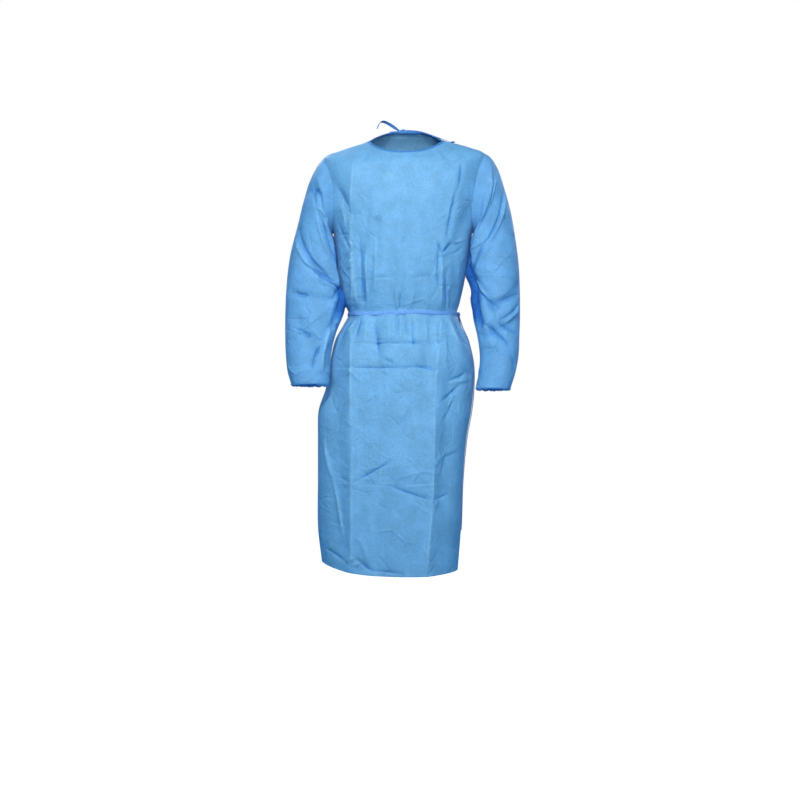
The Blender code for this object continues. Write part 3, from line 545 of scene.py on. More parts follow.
# The sharp creases' heights, as shares of RELIEF raised to RELIEF_POWER, give the cloth painted shade in
# the creases and a painted highlight on the crests
RELIEF = 0.0040
RELIEF_POWER = 1.8


def cloth_shell(name, points, material, joined=False, thick=0.0, flip=False, sharp=None):
    """Mesh object of a grid of points, joined round its columns or not, with an inner layer or none.

    A point attribute keeps the sharp creases' heights for the cloth's painted shade and painted highlight:
    their share of RELIEF, raised to a power so that faint creases hardly count.
    """
    rows, columns = points.shape[:2]
    index = np.arange(rows * columns).reshape(rows, columns)
    if joined:
        index = np.concatenate([index, index[:, :1]], axis=1)
    if flip:
        index = index[:, ::-1]
    quads = np.stack([index[:-1, :-1], index[:-1, 1:], index[1:, 1:], index[1:, :-1]], -1).reshape(-1, 4)
    mesh = bpy.data.meshes.new(name)
    mesh.vertices.add(rows * columns)
    mesh.vertices.foreach_set("co", points.astype(np.float32).ravel())
    mesh.loops.add(quads.size)
    mesh.loops.foreach_set("vertex_index", quads.astype(np.int32).ravel())
    mesh.polygons.add(len(quads))
    mesh.polygons.foreach_set("loop_start", np.arange(0, quads.size, 4, dtype=np.int32))
    mesh.update(calc_edges=True)
    mesh.shade_smooth()
    if sharp is not None:
        crease_shading = mesh.attributes.new("crease_shading", "FLOAT", "POINT")
        shares = signed_power(sharp / RELIEF, RELIEF_POWER)
        crease_shading.data.foreach_set("value", shares.astype(np.float32).ravel())
    piece = bpy.data.objects.new(name, mesh)
    bpy.context.scene.collection.objects.link(piece)
    piece.data.materials.append(material)
    if thick:
        wall = piece.modifiers.new("inner_layer", "SOLIDIFY")
        wall.thickness = thick
        wall.offset = -1.0
    return piece


def nonwoven(name, colour):
    """Spunbond non-woven of one dye, all from noise and from the attribute relief.

    The dye is clouded and fibrous. Painted shade makes it deeper blue in the creases that go in, and a
    painted highlight makes it paler on the crests. Two sizes of crumpled facets, out in some patches and
    in in others, and a fine bonded grain are bump.
    """
    material = bpy.data.materials.new(name)
    material.use_nodes = True
    nodes, links = material.node_tree.nodes, material.node_tree.links

    def add(kind, inputs, **settings):
        """A new node, its inputs set to values or linked from the outputs of other nodes."""
        node = nodes.new(f"ShaderNode{kind}")
        for setting, value in settings.items():
            setattr(node, setting, value)
        for socket, value in inputs.items():
            if isinstance(value, bpy.types.NodeSocket):
                links.new(value, node.inputs[socket])
            else:
                node.inputs[socket].default_value = value
        return node

    shader = nodes["Principled BSDF"]
    shader.inputs["Roughness"].default_value = 0.58
    shader.inputs["Specular IOR Level"].default_value = 0.30
    shader.inputs["Sheen Weight"].default_value = 0.03
    shader.inputs["Sheen Roughness"].default_value = 0.45
    shader.inputs["Sheen Tint"].default_value = (0.75, 0.88, 1.0, 1.0)
    place = add("TexCoord", {}).outputs["Object"]

    tones = []
    for label, scale, low, high in (("clouds", 26.0, 0.90, 1.09), ("fibres", 240.0, 0.89, 1.11)):
        noise = add("TexNoise", {"Scale": scale, "Detail": 5.0, "Vector": place}, label=label)
        limits = {"From Min": 0.3, "From Max": 0.7, "To Min": low, "To Max": high}
        tones.append(add("MapRange", {**limits, "Value": noise.outputs["Fac"]}).outputs["Result"])
    tone = add("Math", {0: tones[0], 1: tones[1]}, operation="MULTIPLY").outputs["Value"]
    blend = {"data_type": "RGBA", "blend_type": "MULTIPLY"}
    dye = add("Mix", {"Factor": 1.0, "A": (*colour, 1.0), "B": tone}, **blend)

    # Painted shade and highlight: the ramp turns the dye deep blue in the creases that go in, leaves it as
    # it is on the flat and pales it on the crests
    crease_shading = add("Attribute", {}, attribute_name="crease_shading").outputs["Fac"]
    spread = add("MapRange", {"From Min": -2.0, "From Max": 1.0, "Value": crease_shading})
    ramp = add("ValToRGB", {"Fac": spread.outputs["Result"]})
    stops = ramp.color_ramp.elements
    stops[0].position, stops[0].color = 0.0, (0.14, 0.34, 0.68, 1.0)
    stops[1].position, stops[1].color = 1.0, (1.30, 1.14, 1.05, 1.0)
    stops.new(0.33).color = (0.46, 0.66, 0.88, 1.0)
    for level_end in (0.63, 0.72):
        stops.new(level_end).color = (1.0, 1.0, 1.0, 1.0)
    # The dye times the ramp's painted shade and highlight is the base colour
    layers = {"A": dye.outputs["Result"], "B": ramp.outputs["Color"]}
    painted_shading = add("Mix", {"Factor": 1.0, **layers}, **blend)
    links.new(painted_shading.outputs["Result"], shader.inputs["Base Color"])

    bend = add("TexNoise", {"Scale": 9.0, "Vector": place}).outputs["Color"]
    bent = add("VectorMath", {0: bend, 1: (0.05, 0.05, 0.05), 2: place}, operation="MULTIPLY_ADD")
    bent = bent.outputs["Vector"]
    patch = add("TexNoise", {"Scale": 11.0, "Detail": 3.0, "Vector": bent}).outputs["Fac"]
    sign = add("MapRange", {"From Min": 0.38, "From Max": 0.62, "To Min": -1.0, "Value": patch})
    facets = []
    for scale, line in ((15.0, 0.07), (34.0, 0.10)):
        cells = add("TexVoronoi", {"Scale": scale, "Vector": bent}, feature="DISTANCE_TO_EDGE")
        limits = {"From Max": line, "To Min": 1.0, "To Max": 0.0}
        edge = add("MapRange", {**limits, "Value": cells.outputs["Distance"]}).outputs["Result"]
        signed = add("Math", {0: edge, 1: sign.outputs["Result"]}, operation="MULTIPLY")
        facets.append(signed.outputs["Value"])
    crumpled = add("Math", {0: facets[1], 1: 0.5, 2: facets[0]}, operation="MULTIPLY_ADD").outputs["Value"]
    facet_bump = add("Bump", {"Strength": 0.8, "Distance": 0.0016, "Height": crumpled}).outputs["Normal"]
    grain = add("TexNoise", {"Scale": 420.0, "Detail": 3.0, "Vector": place}).outputs["Fac"]
    bump = add("Bump", {"Strength": 0.35, "Distance": 0.0006, "Height": grain, "Normal": facet_bump})
    links.new(bump.outputs["Normal"], shader.inputs["Normal"])
    return material


def tucked_in(a):
    """How far the under back lies inside the outer one, at angle a."""
    return (WALL + WRAP_GAP) * ease(*TUCK, -a)


EDGE_LIFT = 0.0022
EDGE_WIDTH = math.radians(5.0)


def lifted_edge(a):
    """How far the outer back's free edge stands off the under one, as a negative inset, at angle a."""
    return -EDGE_LIFT * ease(math.pi + WRAP - EDGE_WIDTH, math.pi + WRAP, a)


GOWN_BLUE = (0.200, 0.472, 0.705)
cloth = nonwoven("gown_cloth", GOWN_BLUE)
left_edge, right_edge = lambda t: SIDE - armhole_cut(t), lambda t: armhole_cut(t) - SIDE
points, sharp = panel_points(right_edge, left_edge, FRONT_COLUMNS)
front = cloth_shell("front", points, cloth, sharp=sharp)
WRAPPED = math.pi + WRAP
seam_edge, free_edge = lambda t: SIDE + armhole_cut(t), lambda t: WRAPPED + 0 * t
points, sharp = panel_points(seam_edge, free_edge, BACK_COLUMNS, lifted_edge)
back_left = cloth_shell("back_left", points, cloth, sharp=sharp)
seam_edge, free_edge = lambda t: -SIDE - armhole_cut(t), lambda t: 0 * t - WRAPPED
points, sharp = panel_points(free_edge, seam_edge, BACK_COLUMNS, tucked_in)
back_right = cloth_shell("back_right", points, cloth, sharp=sharp)
panels = {"front_panel": front, "back_panel_left": back_left, "back_panel_right": back_right}
for node, piece in panels.items():
    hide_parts(node)
    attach(piece, "root")


# The sleeves
# Each is one piece of the same cloth, set in round its armhole, wide at the elbow, creased where the
# arm bends and drawn in at the wrist.
SEAM_LAP = 0.003
SLEEVE_GAP = 0.0018
SLEEVE_ROUNDNESS = 0.92
SIDES = {"right": -1.0, "left": 1.0}

# Rings from the armhole to the cuff: the outer and the inner point (reach from the centre, height),
# how far the ring's middle stands back, and its half depth
SLEEVES = {
    "right": [
        (0.2130, -0.0630, 0.1790, -0.2370, -0.002, 0.074),
        (0.2330, -0.1030, 0.1660, -0.2560, -0.004, 0.072),
        (0.2480, -0.1520, 0.1530, -0.2760, -0.006, 0.069),
        (0.2620, -0.2100, 0.1480, -0.3000, -0.009, 0.066),
        (0.2790, -0.2770, 0.1400, -0.3320, -0.013, 0.063),
        (0.2870, -0.3300, 0.1350, -0.3620, -0.018, 0.061),
        (0.2910, -0.3850, 0.1370, -0.3960, -0.024, 0.060),
        (0.2925, -0.4400, 0.1490, -0.4380, -0.032, 0.059),
        (0.2920, -0.4850, 0.1660, -0.4820, -0.042, 0.057),
        (0.2900, -0.5300, 0.1765, -0.5280, -0.056, 0.053),
        (0.2850, -0.5750, 0.1790, -0.5730, -0.070, 0.049),
        (0.2760, -0.6060, 0.1810, -0.6060, -0.080, 0.044),
    ],
    "left": [
        (0.2190, -0.0430, 0.1790, -0.2370, -0.002, 0.074),
        (0.2370, -0.0720, 0.1660, -0.2560, -0.004, 0.072),
        (0.2530, -0.1200, 0.1510, -0.2780, -0.006, 0.069),
        (0.2690, -0.1800, 0.1480, -0.3040, -0.009, 0.066),
        (0.2800, -0.2450, 0.1530, -0.3350, -0.013, 0.063),
        (0.2880, -0.3100, 0.1660, -0.3660, -0.018, 0.061),
        (0.2905, -0.3750, 0.1680, -0.4020, -0.024, 0.059),
        (0.2905, -0.4350, 0.1745, -0.4450, -0.031, 0.057),
        (0.2885, -0.4900, 0.1850, -0.4930, -0.040, 0.053),
        (0.2860, -0.5350, 0.1900, -0.5380, -0.050, 0.049),
        (0.2780, -0.5780, 0.1870, -0.5790, -0.060, 0.045),
        (0.2660, -0.6160, 0.1790, -0.6160, -0.066, 0.042),
    ],
}

# Creases on the unrolled sleeve: station and degrees round from the top through the front at both
# ends, then bow, half width and height in millimetres, and 1 for pressed or 2 for soft
SLEEVE_CREASES = {
    "right": [
        # Soft folds, also in the solids
        (1, 95, 2.6, 20, 0, 13, -4, 2),
        (1.4, 140, 4.8, 150, 0, 14, -9, 2),
        (4.6, 148, 8.6, 142, 0, 12, -8, 2),
        (4.3, 30, 6.6, 135, 0, 12, -5, 2),
        (6, 100, 6.4, 175, 0, 12, 3.5, 2),
        (6.9, 40, 7.2, 110, 0, 11, -4, 2),
        (8.2, 60, 10.2, 120, 0, 12, -4, 2),
        (8, 150, 11, 120, 0, 12, 3, 2),
        (2.5, 250, 5.5, 210, 0, 15, -5, 2),
        (6.2, 190, 7.4, 300, 0, 14, -5, 2),
        (8.5, 230, 10.5, 300, 0, 14, -4, 2),
        # Sharp creases of the shoulder, the elbow and the forearm
        (1.1, 100, 2.3, 45, 4, 3.1, -6.2, 1),
        (1.5, 120, 2.6, 70, 3, 3.1, 5.6, 1),
        (1.8, 40, 2.6, 75, 2, 2.8, -4.8, 1),
        (2.4, 80, 3.2, 115, -2, 3.1, 5.6, 1),
        (2.4, 85, 4.6, 140, 4, 3.5, -6.2, 1),
        (2.6, 70, 4.8, 120, 3, 3.5, 6.2, 1),
        (4.4, 40, 5.8, 110, -4, 3.1, -6.2, 1),
        (4.6, 25, 5.9, 90, -5, 3.5, 6.2, 1),
        (5.4, 60, 6.1, 130, -2, 3.1, -6.2, 1),
        (5.8, 95, 6.6, 160, 3, 3.1, -6.2, 1),
        (6.1, 92, 6.5, 135, 2, 3.1, 6.2, 1),
        (6, 150, 7.2, 120, 2, 3.5, -5.6, 1),
        (6.9, 48, 7, 78, 1, 2.8, -5.6, 1),
        (7.8, 110, 9.3, 60, 3, 3.1, 4.6, 1),
        (8.7, 55, 9.2, 95, -3, 3.1, -6.2, 1),
        (8.8, 95, 9.4, 120, 2, 3.1, 4.8, 1),
        (9.6, 125, 11, 100, 4, 3.5, -6.2, 1),
        (8.6, 135, 11.2, 128, 2, 3.8, 5.6, 1),
        (10.6, 20, 11.3, 60, 3, 3.5, 3.8, 1),
        # The hidden back of the arm
        (1.4, 262, 3.2, 300, 4, 3.5, -5.9, 1),
        (3.4, 240, 5.2, 290, 4, 3.5, 5.6, 1),
        (5.6, 230, 6.6, 320, 4, 3.5, -6.2, 1),
        (6.4, 215, 7.4, 300, 3, 3.5, 6.2, 1),
        (8.4, 250, 10, 310, 3, 3.5, -5.6, 1),
        (9.6, 225, 11.2, 250, 2, 3.5, 4.8, 1),
    ],
    "left": [
        # Soft folds, also in the solids
        (1, 40, 2.6, 90, 0, 12, 4, 2),
        (1.3, 120, 4.4, 75, 0, 12, -4.5, 2),
        (1.6, 150, 4.2, 150, 0, 13, -10, 2),
        (4, 148, 8.4, 140, 0, 12, -8, 2),
        (5.6, 150, 7.8, 95, 0, 12, -4.5, 2),
        (6.8, 20, 7.6, 100, 0, 12, -4.5, 2),
        (8.3, 50, 9, 140, 0, 12, -4.5, 2),
        (8.8, 110, 10.6, 30, 0, 12, -4, 2),
        (2.5, 250, 5.5, 210, 0, 15, -5, 2),
        (6.4, 190, 7.2, 300, 0, 14, -5, 2),
        (8.7, 230, 10.4, 300, 0, 14, -4, 2),
        # Sharp creases of the shoulder, the elbow and the forearm
        (0.9, 75, 2, 60, 2, 3.1, 5.6, 1),
        (1.8, 60, 3.4, 130, 3, 3.5, 6.2, 1),
        (2, 75, 3.6, 142, 3, 3.5, -6.2, 1),
        (2, 35, 2.6, 70, -2, 3.1, 4.6, 1),
        (3, 25, 4.3, 100, 4, 3.1, -6.2, 1),
        (3.2, 22, 4.4, 90, 4, 3.5, 5.9, 1),
        (4.2, 100, 5.3, 150, 2, 3.5, -6.2, 1),
        (4.1, 98, 3.6, 135, 2, 3.1, 4.8, 1),
        (5.4, 150, 7.2, 105, -3, 3.5, 6.2, 1),
        (6.6, 132, 7.6, 92, -2, 3.5, -6.2, 1),
        (7.1, 18, 7.3, 88, 1, 2.8, -4.6, 1),
        (7.4, 15, 8.2, 88, 4, 3.1, -6.2, 1),
        (7.6, 20, 8.4, 80, 4, 3.1, 5.6, 1),
        (7.4, 98, 8.4, 88, 2, 3.1, 6.2, 1),
        (8.4, 90, 8.9, 35, -3, 3.1, -6.2, 1),
        (8.3, 130, 9.6, 62, 2, 3.1, -6.2, 1),
        (8.7, 145, 8.2, 110, 2, 3.1, 5.6, 1),
        (9.2, 120, 10.4, 90, 3, 3.5, 4, 1),
        (10.2, 50, 11.2, 25, 2, 3.5, -4.6, 1),
        # The hidden back of the arm
        (1.4, 262, 3.2, 300, 4, 3.5, -5.9, 1),
        (3.2, 235, 5, 292, 4, 3.5, 5.6, 1),
        (5.8, 228, 6.9, 318, 4, 3.5, -6.2, 1),
        (6.8, 212, 7.6, 300, 3, 3.5, 6.2, 1),
        (8.5, 245, 10.2, 305, 3, 3.5, -5.6, 1),
        (9.8, 225, 11.2, 255, 2, 3.5, 4.8, 1),
    ],
}
ROUND_METRES = 0.060
STATION_METRES = 0.050
SLEEVE_CRUMPLE = {
    "right": crumple_table(21, 150, (20, 360), (40, 580), 0.5),
    "left": crumple_table(22, 150, (20, 360), (40, 580), -0.5),
}


def armhole_ring(side, phi):
    """Ring on the panels just outside the armhole's edge, and the panels' normals there."""
    lap_a = SEAM_LAP / speed(bare_body, SIDE, (ARMPIT + SHOULDER_TIP) / 2, 0)
    low = ARMPIT - SEAM_LAP / speed(bare_body, SIDE, ARMPIT, 1)
    high = SHOULDER_TIP + SEAM_LAP / speed(bare_body, SIDE, SHOULDER_TIP + 0.2, 1)
    a = SIDES[side] * (SIDE - (ARMHOLE + lap_a) * np.sin(phi))
    t = low + (high - low) * (1 + np.cos(phi)) / 2
    return creased_body(a, t)[0], normals(bare_body, a, t)


def bare_sleeve(side, phi, s):
    """Sleeve without creases: cubic curves through its rings, phi round from the top, at station s."""
    base, out = armhole_ring(side, phi)
    rings = [base + out * CLOTH]
    cos, sin = (signed_power(wave(phi), SLEEVE_ROUNDNESS) for wave in (np.cos, np.sin))
    for x_out, z_out, x_in, z_in, y, depth in SLEEVES[side]:
        x = (x_out + x_in) / 2 + (x_out - x_in) / 2 * cos
        z = (z_out + z_in) / 2 + (z_out - z_in) / 2 * cos
        rings.append(np.stack([SIDES[side] * x, y - depth * sin, z], -1))
    rings = np.stack(rings)
    slope = np.gradient(rings, axis=0)
    i = np.clip(np.floor(s).astype(int), 0, len(rings) - 2)
    f = (s - i)[..., None]
    pick = np.indices(i.shape)
    near, far = (i, *pick), (i + 1, *pick)
    return cubic(rings[near], rings[far], slope[near], slope[far], f)


# The sleeves' painted shade and highlight, as a height of sharp creases: how much the soft folds count,
# the deepest painted shade of a crease, and how much painted shade darkens the side next to the body
# (angles round, then stations)
SOFT_SHADE_SHARE = 0.4
DEEPEST_PAINTED_SHADE = -0.0034
INNER_PAINTED_SHADE = 0.0062
INNER_SHADE_ROUND = ((2.1, 2.9), (3.5, 4.3))
INNER_SHADE_ALONG = ((0.3, 1.5), (7.5, 9.5))


def sleeve_creases(side, phi, s):
    """Heights of all creases on the unrolled sleeve, none at its ends or on its top line, and its painted
    shade and highlight.
    """
    turned = np.mod(phi, 2 * np.pi)
    turn, along = turned * ROUND_METRES, s * STATION_METRES
    rows = []
    for s_a, round_a, s_b, round_b, *rest in SLEEVE_CREASES[side]:
        start = (math.radians(round_a) * ROUND_METRES * MM, s_a * STATION_METRES * MM)
        end = (math.radians(round_b) * ROUND_METRES * MM, s_b * STATION_METRES * MM)
        rows.append((*start, *end, *rest))
    calm = ease(0.0, 0.2, np.sin(turned / 2))
    calm = calm * ease(0.2, 1.1, s) * ease(0, 0.9, len(SLEEVES[side]) - s)
    sharp = crease_height(rows + SLEEVE_CRUMPLE[side], turn, along, PRESSED) * calm
    soft = crease_height(rows, turn, along, SOFT) * calm
    # Painted shade on the sleeve's side next to the body, where the body shades it
    inner = ease(*INNER_SHADE_ROUND[0], turned) * (1 - ease(*INNER_SHADE_ROUND[1], turned))
    inner = inner * ease(*INNER_SHADE_ALONG[0], s) * (1 - ease(*INNER_SHADE_ALONG[1], s))
    return soft + sharp, np.maximum(sharp + SOFT_SHADE_SHARE * soft, DEEPEST_PAINTED_SHADE) - INNER_PAINTED_SHADE * inner


# The seam round the armhole reaches down to this station and isn't moved
SEAM_STATIONS = 0.5


def clear_of_body(side, points, s):
    """Sleeve points below the armhole moved sideways, just clear of the body's bare side."""
    side_heights = [row[RING_COLUMNS.index(f"z_{side}")] for row in RINGS.values()]
    t = np.interp(points[..., 2], side_heights, np.arange(len(RINGS)))
    deep = np.where(points[..., 1] < 0, ring_column("front", t), ring_column("back", t))
    square = ring_column("square", t)
    inside = np.clip(1 - np.abs(points[..., 1] / deep) ** square, 0, 1)
    least = ring_column(side, t) * inside ** (1 / square) + SLEEVE_GAP
    reach = SIDES[side] * points[..., 0]
    cleared = points.copy()
    cleared[..., 0] = SIDES[side] * np.where(s > SEAM_STATIONS, np.maximum(reach, least), reach)
    return cleared


def sleeve(side, phi, s):
    """Sleeve surface with its creases, which stand out along the bare surface's normal."""
    def bare(phi, s):
        return bare_sleeve(side, phi, s)

    out = SIDES[side] * normals(bare, phi, s)
    height, tone = sleeve_creases(side, phi, s)
    return clear_of_body(side, bare(phi, s) + out * height[..., None], s), tone


# The sleeves' cloth is the gown's cloth made darker: painted shade, as they lie off to the sides of the
# light that falls on the chest
SHADED_SLEEVE_BLUE = (0.170, 0.425, 0.69)
SLEEVE_COLUMNS = 200
SLEEVE_ROWS = 281
# Stations are the rows' shares to this power, so the rows stand a little wider apart at the top
ROW_POWER = 0.97
shaded_sleeve_cloth = nonwoven("shaded_sleeve_cloth", SHADED_SLEEVE_BLUE)
for side in SIDES:
    phi = np.linspace(0, 2 * np.pi, SLEEVE_COLUMNS, endpoint=False)[None, :]
    s = len(SLEEVES[side]) * np.linspace(0, 1, SLEEVE_ROWS)[:, None] ** ROW_POWER
    # The tone is the sleeve's painted shade and highlight, which sets its cloth's colour
    points, tone = sleeve(side, *np.broadcast_arrays(phi, s))
    flip = side == "right"
    piece = cloth_shell(f"{side}_sleeve", points, shaded_sleeve_cloth, joined=True, flip=flip, sharp=tone)
    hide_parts(f"sleeve_{side}")
    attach(piece, "root")


# The cuffs
# The sleeve's end is turned in and gathered over a narrow elastic, so a loose lip of cloth hangs
# round the wrist.
CUFF_GATHERS = 14
CUFF_OPENING = 0.027
GATHER_HEIGHT = 0.0018
GATHER_RADIUS = 0.04
# The lip's rise at the front and drop at the back, each with its half width in radians
FRONT_ARCH, FRONT_ARCH_WIDTH = 0.0070, 0.7
BACK_DROP, BACK_DROP_WIDTH = 0.0030, 0.9
# How far a ring is drawn in to the opening, its height over the sleeve's end, how gathered it is
CUFF = [
    (0.00, -0.0003, 0.0),
    (0.03, -0.0045, 0.3),
    (0.22, -0.0075, 0.7),
    (0.65, -0.0020, 1.0),
    (1.00, 0.0060, 1.0),
    (1.00, 0.0140, 0.8),
]


def cuff_points(side, phi, v):
    """Gathered sleeve end: the last sleeve ring drawn in to the wrist, with waves that grow inwards.

    The waves are uneven cosines round the wrist. The lip rises at the front and drops at the back.
    """
    x_out, z_end, x_in, _, y, _ = SLEEVES[side][-1]
    end = bare_sleeve(side, phi, np.full_like(phi, float(len(SLEEVES[side]))))
    centre = np.array([SIDES[side] * (x_out + x_in) / 2, y])
    away = end[..., :2] - centre
    inward = curve_through([row[0] for row in CUFF], v)[..., None]
    radius = np.linalg.norm(away, axis=-1, keepdims=True)
    plan = away * (1 - inward) + away / radius * CUFF_OPENING * inward
    share = curve_through([row[2] for row in CUFF], v)
    waves = np.cos(CUFF_GATHERS * phi + 0.9 * np.sin(2 * phi + 1)) * (0.7 + 0.5 * np.sin(3 * phi + 2))
    waves = waves + 0.35 * np.cos(31 * phi + 1.3) * np.cos(2 * phi)
    gather = GATHER_HEIGHT * share * waves
    arch = FRONT_ARCH * np.exp(-(((phi - np.pi / 2) / FRONT_ARCH_WIDTH) ** 2))
    arch = arch - BACK_DROP * np.exp(-(((phi - 3 * np.pi / 2) / BACK_DROP_WIDTH) ** 2))
    level = z_end + curve_through([row[1] for row in CUFF], v) + gather + arch * share
    plan = plan * (1 + gather / GATHER_RADIUS)[..., None] + centre
    return np.concatenate([plan, level[..., None]], -1)


CUFF_BLUE = (0.13, 0.37, 0.70)
CUFF_COLUMNS = 252
CUFF_ROWS = 41
cuff_cloth = nonwoven("cuff_cloth", CUFF_BLUE)
for side in SIDES:
    phi = np.linspace(0, 2 * np.pi, CUFF_COLUMNS, endpoint=False)[None, :]
    phi, v = np.broadcast_arrays(phi, np.linspace(0, len(CUFF) - 1, CUFF_ROWS)[:, None])
    points = cuff_points(side, phi, v)
    piece = cloth_shell(f"{side}_cuff", points, cuff_cloth, joined=True, thick=CLOTH, flip=side == "right")
    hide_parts(f"cuff_{side}")
    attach(piece, "root")


# The neck binding
# A narrow strip of the cloth is folded over the raw neck edge and sewn through, all the way round.
BINDING_BLUE = (0.075, 0.27, 0.62)
BINDING_RINGS = 360
BINDING_PUCKER = 0.00012
binding_cloth = nonwoven("binding_cloth", BINDING_BLUE)

# A flat strip's cross-section: its number of points, and how square it is across and in thickness
STRIP_POINTS = 12
STRIP_SQUARENESS = (0.45, 0.7)


def flat_tie(name, path, out, across_half, thick_half, material, joined=False):
    """A soft flat strip: a rounded rectangle carried along a path, capped unless joined."""
    corner = (np.arange(STRIP_POINTS) + 0.5) * 2 * np.pi / STRIP_POINTS
    wide = signed_power(np.cos(corner), STRIP_SQUARENESS[0])
    deep = signed_power(np.sin(corner), STRIP_SQUARENESS[1])
    run = np.gradient(path, axis=0)
    if joined:
        run = np.roll(path, -1, axis=0) - np.roll(path, 1, axis=0)
    across = np.cross(out, run)
    across /= np.linalg.norm(across, axis=-1, keepdims=True)
    rings = len(path)
    wide = np.broadcast_to(across_half, rings)[:, None] * wide
    deep = np.broadcast_to(thick_half, rings)[:, None] * deep
    points = path[:, None] + across[:, None] * wide[..., None] + out[:, None] * deep[..., None]
    index = np.arange(rings * STRIP_POINTS).reshape(rings, STRIP_POINTS)
    loops = np.concatenate([index, index[:, :1]], axis=1)
    if joined:
        loops = np.concatenate([loops, loops[:1]])
    quads = np.stack([loops[:-1, :-1], loops[1:, :-1], loops[1:, 1:], loops[:-1, 1:]], -1)
    faces = quads.reshape(-1, 4).tolist()
    if not joined:
        faces += [index[0].tolist(), index[-1][::-1].tolist()]
    mesh = bpy.data.meshes.new(name)
    mesh.from_pydata(points.reshape(-1, 3).tolist(), [], faces)
    mesh.shade_smooth()
    piece = bpy.data.objects.new(name, mesh)
    bpy.context.scene.collection.objects.link(piece)
    piece.data.materials.append(material)
    return piece


def surface_path(a, t, off):
    """Points off the bare body at angles a and stations t, and the outward normals there."""
    out = normals(bare_body, a, t)
    return bare_body(a, t) + out * np.asarray(off)[..., None], out


a = even_columns(-WRAPPED, WRAPPED, BINDING_RINGS)[0]
t = NECK - BINDING_WIDTH / 2 / speed(bare_body, a, np.full_like(a, BY_NECK), 1)
inset = WALL / 2 + (BINDING_THICK + WRAP_GAP) * ease(*TUCK, -a)
path, out = surface_path(a, t, BINDING_PUCKER * np.sin(140 * a) - inset)
binding = flat_tie("neck_edge", path, out, BINDING_WIDTH / 2, BINDING_THICK / 2, binding_cloth)
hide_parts("neck_binding")
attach(binding, "root")


# The neck ties
# The ends of the binding are knotted behind the neck. One end stands up beside the knot and the other
# lies over the left shoulder.
TIE_WIDTH = 0.0085
TIE_THICK = 0.0012
TIE_RINGS = 61
# How narrow a tie is at its knot, and over how many rings it widens
PINCHED, PINCHED_RINGS = 0.62, 12
NECK_KNOT = (0.016, 0.008, 0.012)
# Along each tie: degrees round from the front, station, off the body, above
NECK_TIES = {
    "neck_tie_right": [
        (-174.3, 19.88, 0.0043, 0.000), (-163.0, 20.00, 0.0100, 0.007), (-151.0, 20.00, 0.0120, 0.017),
        (-140.0, 20.00, 0.0080, 0.022), (-133.0, 20.00, 0.0050, 0.014),
    ],
    "neck_tie_left": [
        (175.7, 19.88, 0.0043, 0.000), (158.0, 19.72, 0.0036, 0.000), (140.0, 19.50, 0.0020, 0.000),
        (124.0, 19.35, 0.0016, 0.000), (108.0, 19.25, 0.0016, 0.000), (97.0, 19.22, 0.0036, 0.001),
    ],
}


# A knot's grid, how near its poles it closes, and how deep its grooves are
KNOT_COLUMNS, KNOT_ROWS = 48, 29
KNOT_POLE = 0.04
GROOVE_DEPTH = 0.16


def pulled_knot(name, centre, out, size, material):
    """A small knot: an ellipsoid with three spiral grooves, turned to face along out."""
    u = np.linspace(0, 2 * np.pi, KNOT_COLUMNS, endpoint=False)[None, :]
    v = np.linspace(KNOT_POLE, np.pi - KNOT_POLE, KNOT_ROWS)[:, None]
    groove = 1 - GROOVE_DEPTH * np.abs(np.cos(1.5 * u + 2.2 * v)) ** 6
    local = np.stack(np.broadcast_arrays(np.cos(v), np.sin(v) * np.cos(u), np.sin(v) * np.sin(u)), -1)
    local = local * groove[..., None] * np.array(size) / 2
    side_axis = np.cross(out, (0.0, 0.0, 1.0))
    side_axis /= np.linalg.norm(side_axis)
    up_axis = np.cross(side_axis, out)
    points = centre + local[..., :1] * side_axis + local[..., 1:2] * out + local[..., 2:] * up_axis
    return cloth_shell(name, points, material, joined=True)


middle = NECK - BINDING_WIDTH / 2 / speed(bare_body, math.pi, BY_NECK, 1)
point, out = bare_body(math.pi, middle), normals(bare_body, math.pi, middle)
stand = (BINDING_THICK - WALL) / 2 + SEAM + NECK_KNOT[1] / 2
knot = pulled_knot("neck_bow_knot", point + out * stand, out, NECK_KNOT, binding_cloth)
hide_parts("neck_knot")
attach(knot, "root")
for node, rows in NECK_TIES.items():
    degrees, station, off, above = curve_through(rows, np.linspace(0, len(rows) - 1, TIE_RINGS)).T
    path, away = surface_path(np.radians(degrees), station, off + TIE_THICK / 2)
    path[:, 2] += above
    run = np.gradient(path, axis=0)
    run /= np.linalg.norm(run, axis=-1, keepdims=True)
    out = away - run * (away * run).sum(-1, keepdims=True)
    out /= np.linalg.norm(out, axis=-1, keepdims=True)
    half = TIE_WIDTH / 2 * (PINCHED + (1 - PINCHED) * ease(0, PINCHED_RINGS, np.arange(TIE_RINGS)))
    tie = flat_tie(f"{node}_end", path, out, half, TIE_THICK / 2, binding_cloth)
    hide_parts(node)
    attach(tie, "root")


# The belt
# A narrow tie of the same cloth is tacked on at the centre front, drawn round the waist and knotted
# at the wearer's left side, and its two ends hang down behind the hip.
BELT_WIDTH = 0.0088
BELT_THICK = 0.0014
BELT_KNOT = (0.019, 0.009, 0.013)
BELT_KNOT_ANGLE = math.radians(100.0)
BELT_BLUE = (0.19, 0.42, 0.80)
BELT_RINGS = 480
TAIL_RINGS = 121
# The stitched tack at the centre front: its angle and half width, and how much lower, wider and
# thicker the belt is there
TACK_ANGLE, TACK_SPREAD = -0.08, 0.035
TACK_DIP, TACK_WIDER, TACK_THICKER = 0.06, 0.25, 0.5
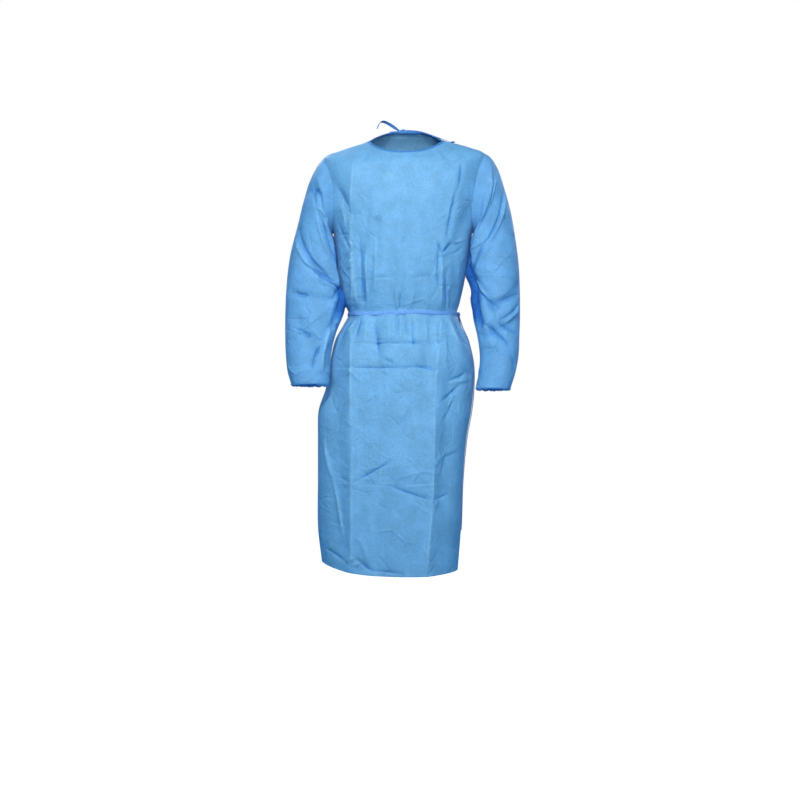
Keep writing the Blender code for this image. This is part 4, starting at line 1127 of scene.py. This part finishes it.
# Each tail: degrees round at the top and at the end, station at the end, how far it swings off
BELT_TAILS = {
    "belt_tail_front": (97.2, 96.5, 0.90, 0.0020),
    "belt_tail_back": (102.8, 109.0, 1.25, 0.0010),
}
belt_cloth = nonwoven("belt_cloth", BELT_BLUE)
a = even_columns(-math.pi, math.pi, BELT_RINGS)[0][:-1]
wander = 0.04 * (np.sin(2 * a + 0.4) + np.sin(5 * a + 1.0))
tack = np.exp(-(((a - TACK_ANGLE) / TACK_SPREAD) ** 2))
off = SEAM + BELT_THICK / 2 + 0.0003 * np.sin(23 * a)
path, out = surface_path(a, BELT_RING + wander - TACK_DIP * tack, off)
half = BELT_WIDTH / 2 * (1 + TACK_WIDER * tack + 0.06 * np.sin(17 * a) + 0.05 * np.sin(41 * a + 2.0))
deep = BELT_THICK / 2 * (1 + TACK_THICKER * tack)
belt = flat_tie("waist_belt", path, out, half, deep, belt_cloth, joined=True)
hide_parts("belt")
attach(belt, "root")

point = bare_body(BELT_KNOT_ANGLE, BELT_RING)
out = normals(bare_body, BELT_KNOT_ANGLE, BELT_RING)
stand = 2 * SEAM + BELT_THICK + BELT_KNOT[1] / 2
knot = pulled_knot("waist_knot", point + out * stand, out, BELT_KNOT, belt_cloth)
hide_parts("belt_knot")
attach(knot, "root")
under_knot = BELT_KNOT[2] / 2 + 5 * SEAM
top = BELT_RING - under_knot / speed(bare_body, BELT_KNOT_ANGLE, BELT_RING, 1)
for node, (degrees_top, degrees_end, station_end, swing) in BELT_TAILS.items():
    f = np.linspace(0, 1, TAIL_RINGS)
    a = np.radians(degrees_top + (degrees_end - degrees_top) * f)
    off = stand - BELT_THICK / 2 + (BELT_THICK + swing - stand) * ease(0, 0.16, f)
    off = off + BELT_THICK / 2 + 0.0006 * np.sin(9 * f + degrees_end) * ease(0, 0.3, f)
    path, out = surface_path(a, top + (station_end - top) * f, off)
    tail = flat_tie(f"{node}_end", path, out, BELT_WIDTH / 2, BELT_THICK / 2, belt_cloth)
    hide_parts(node)
    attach(tail, "root")
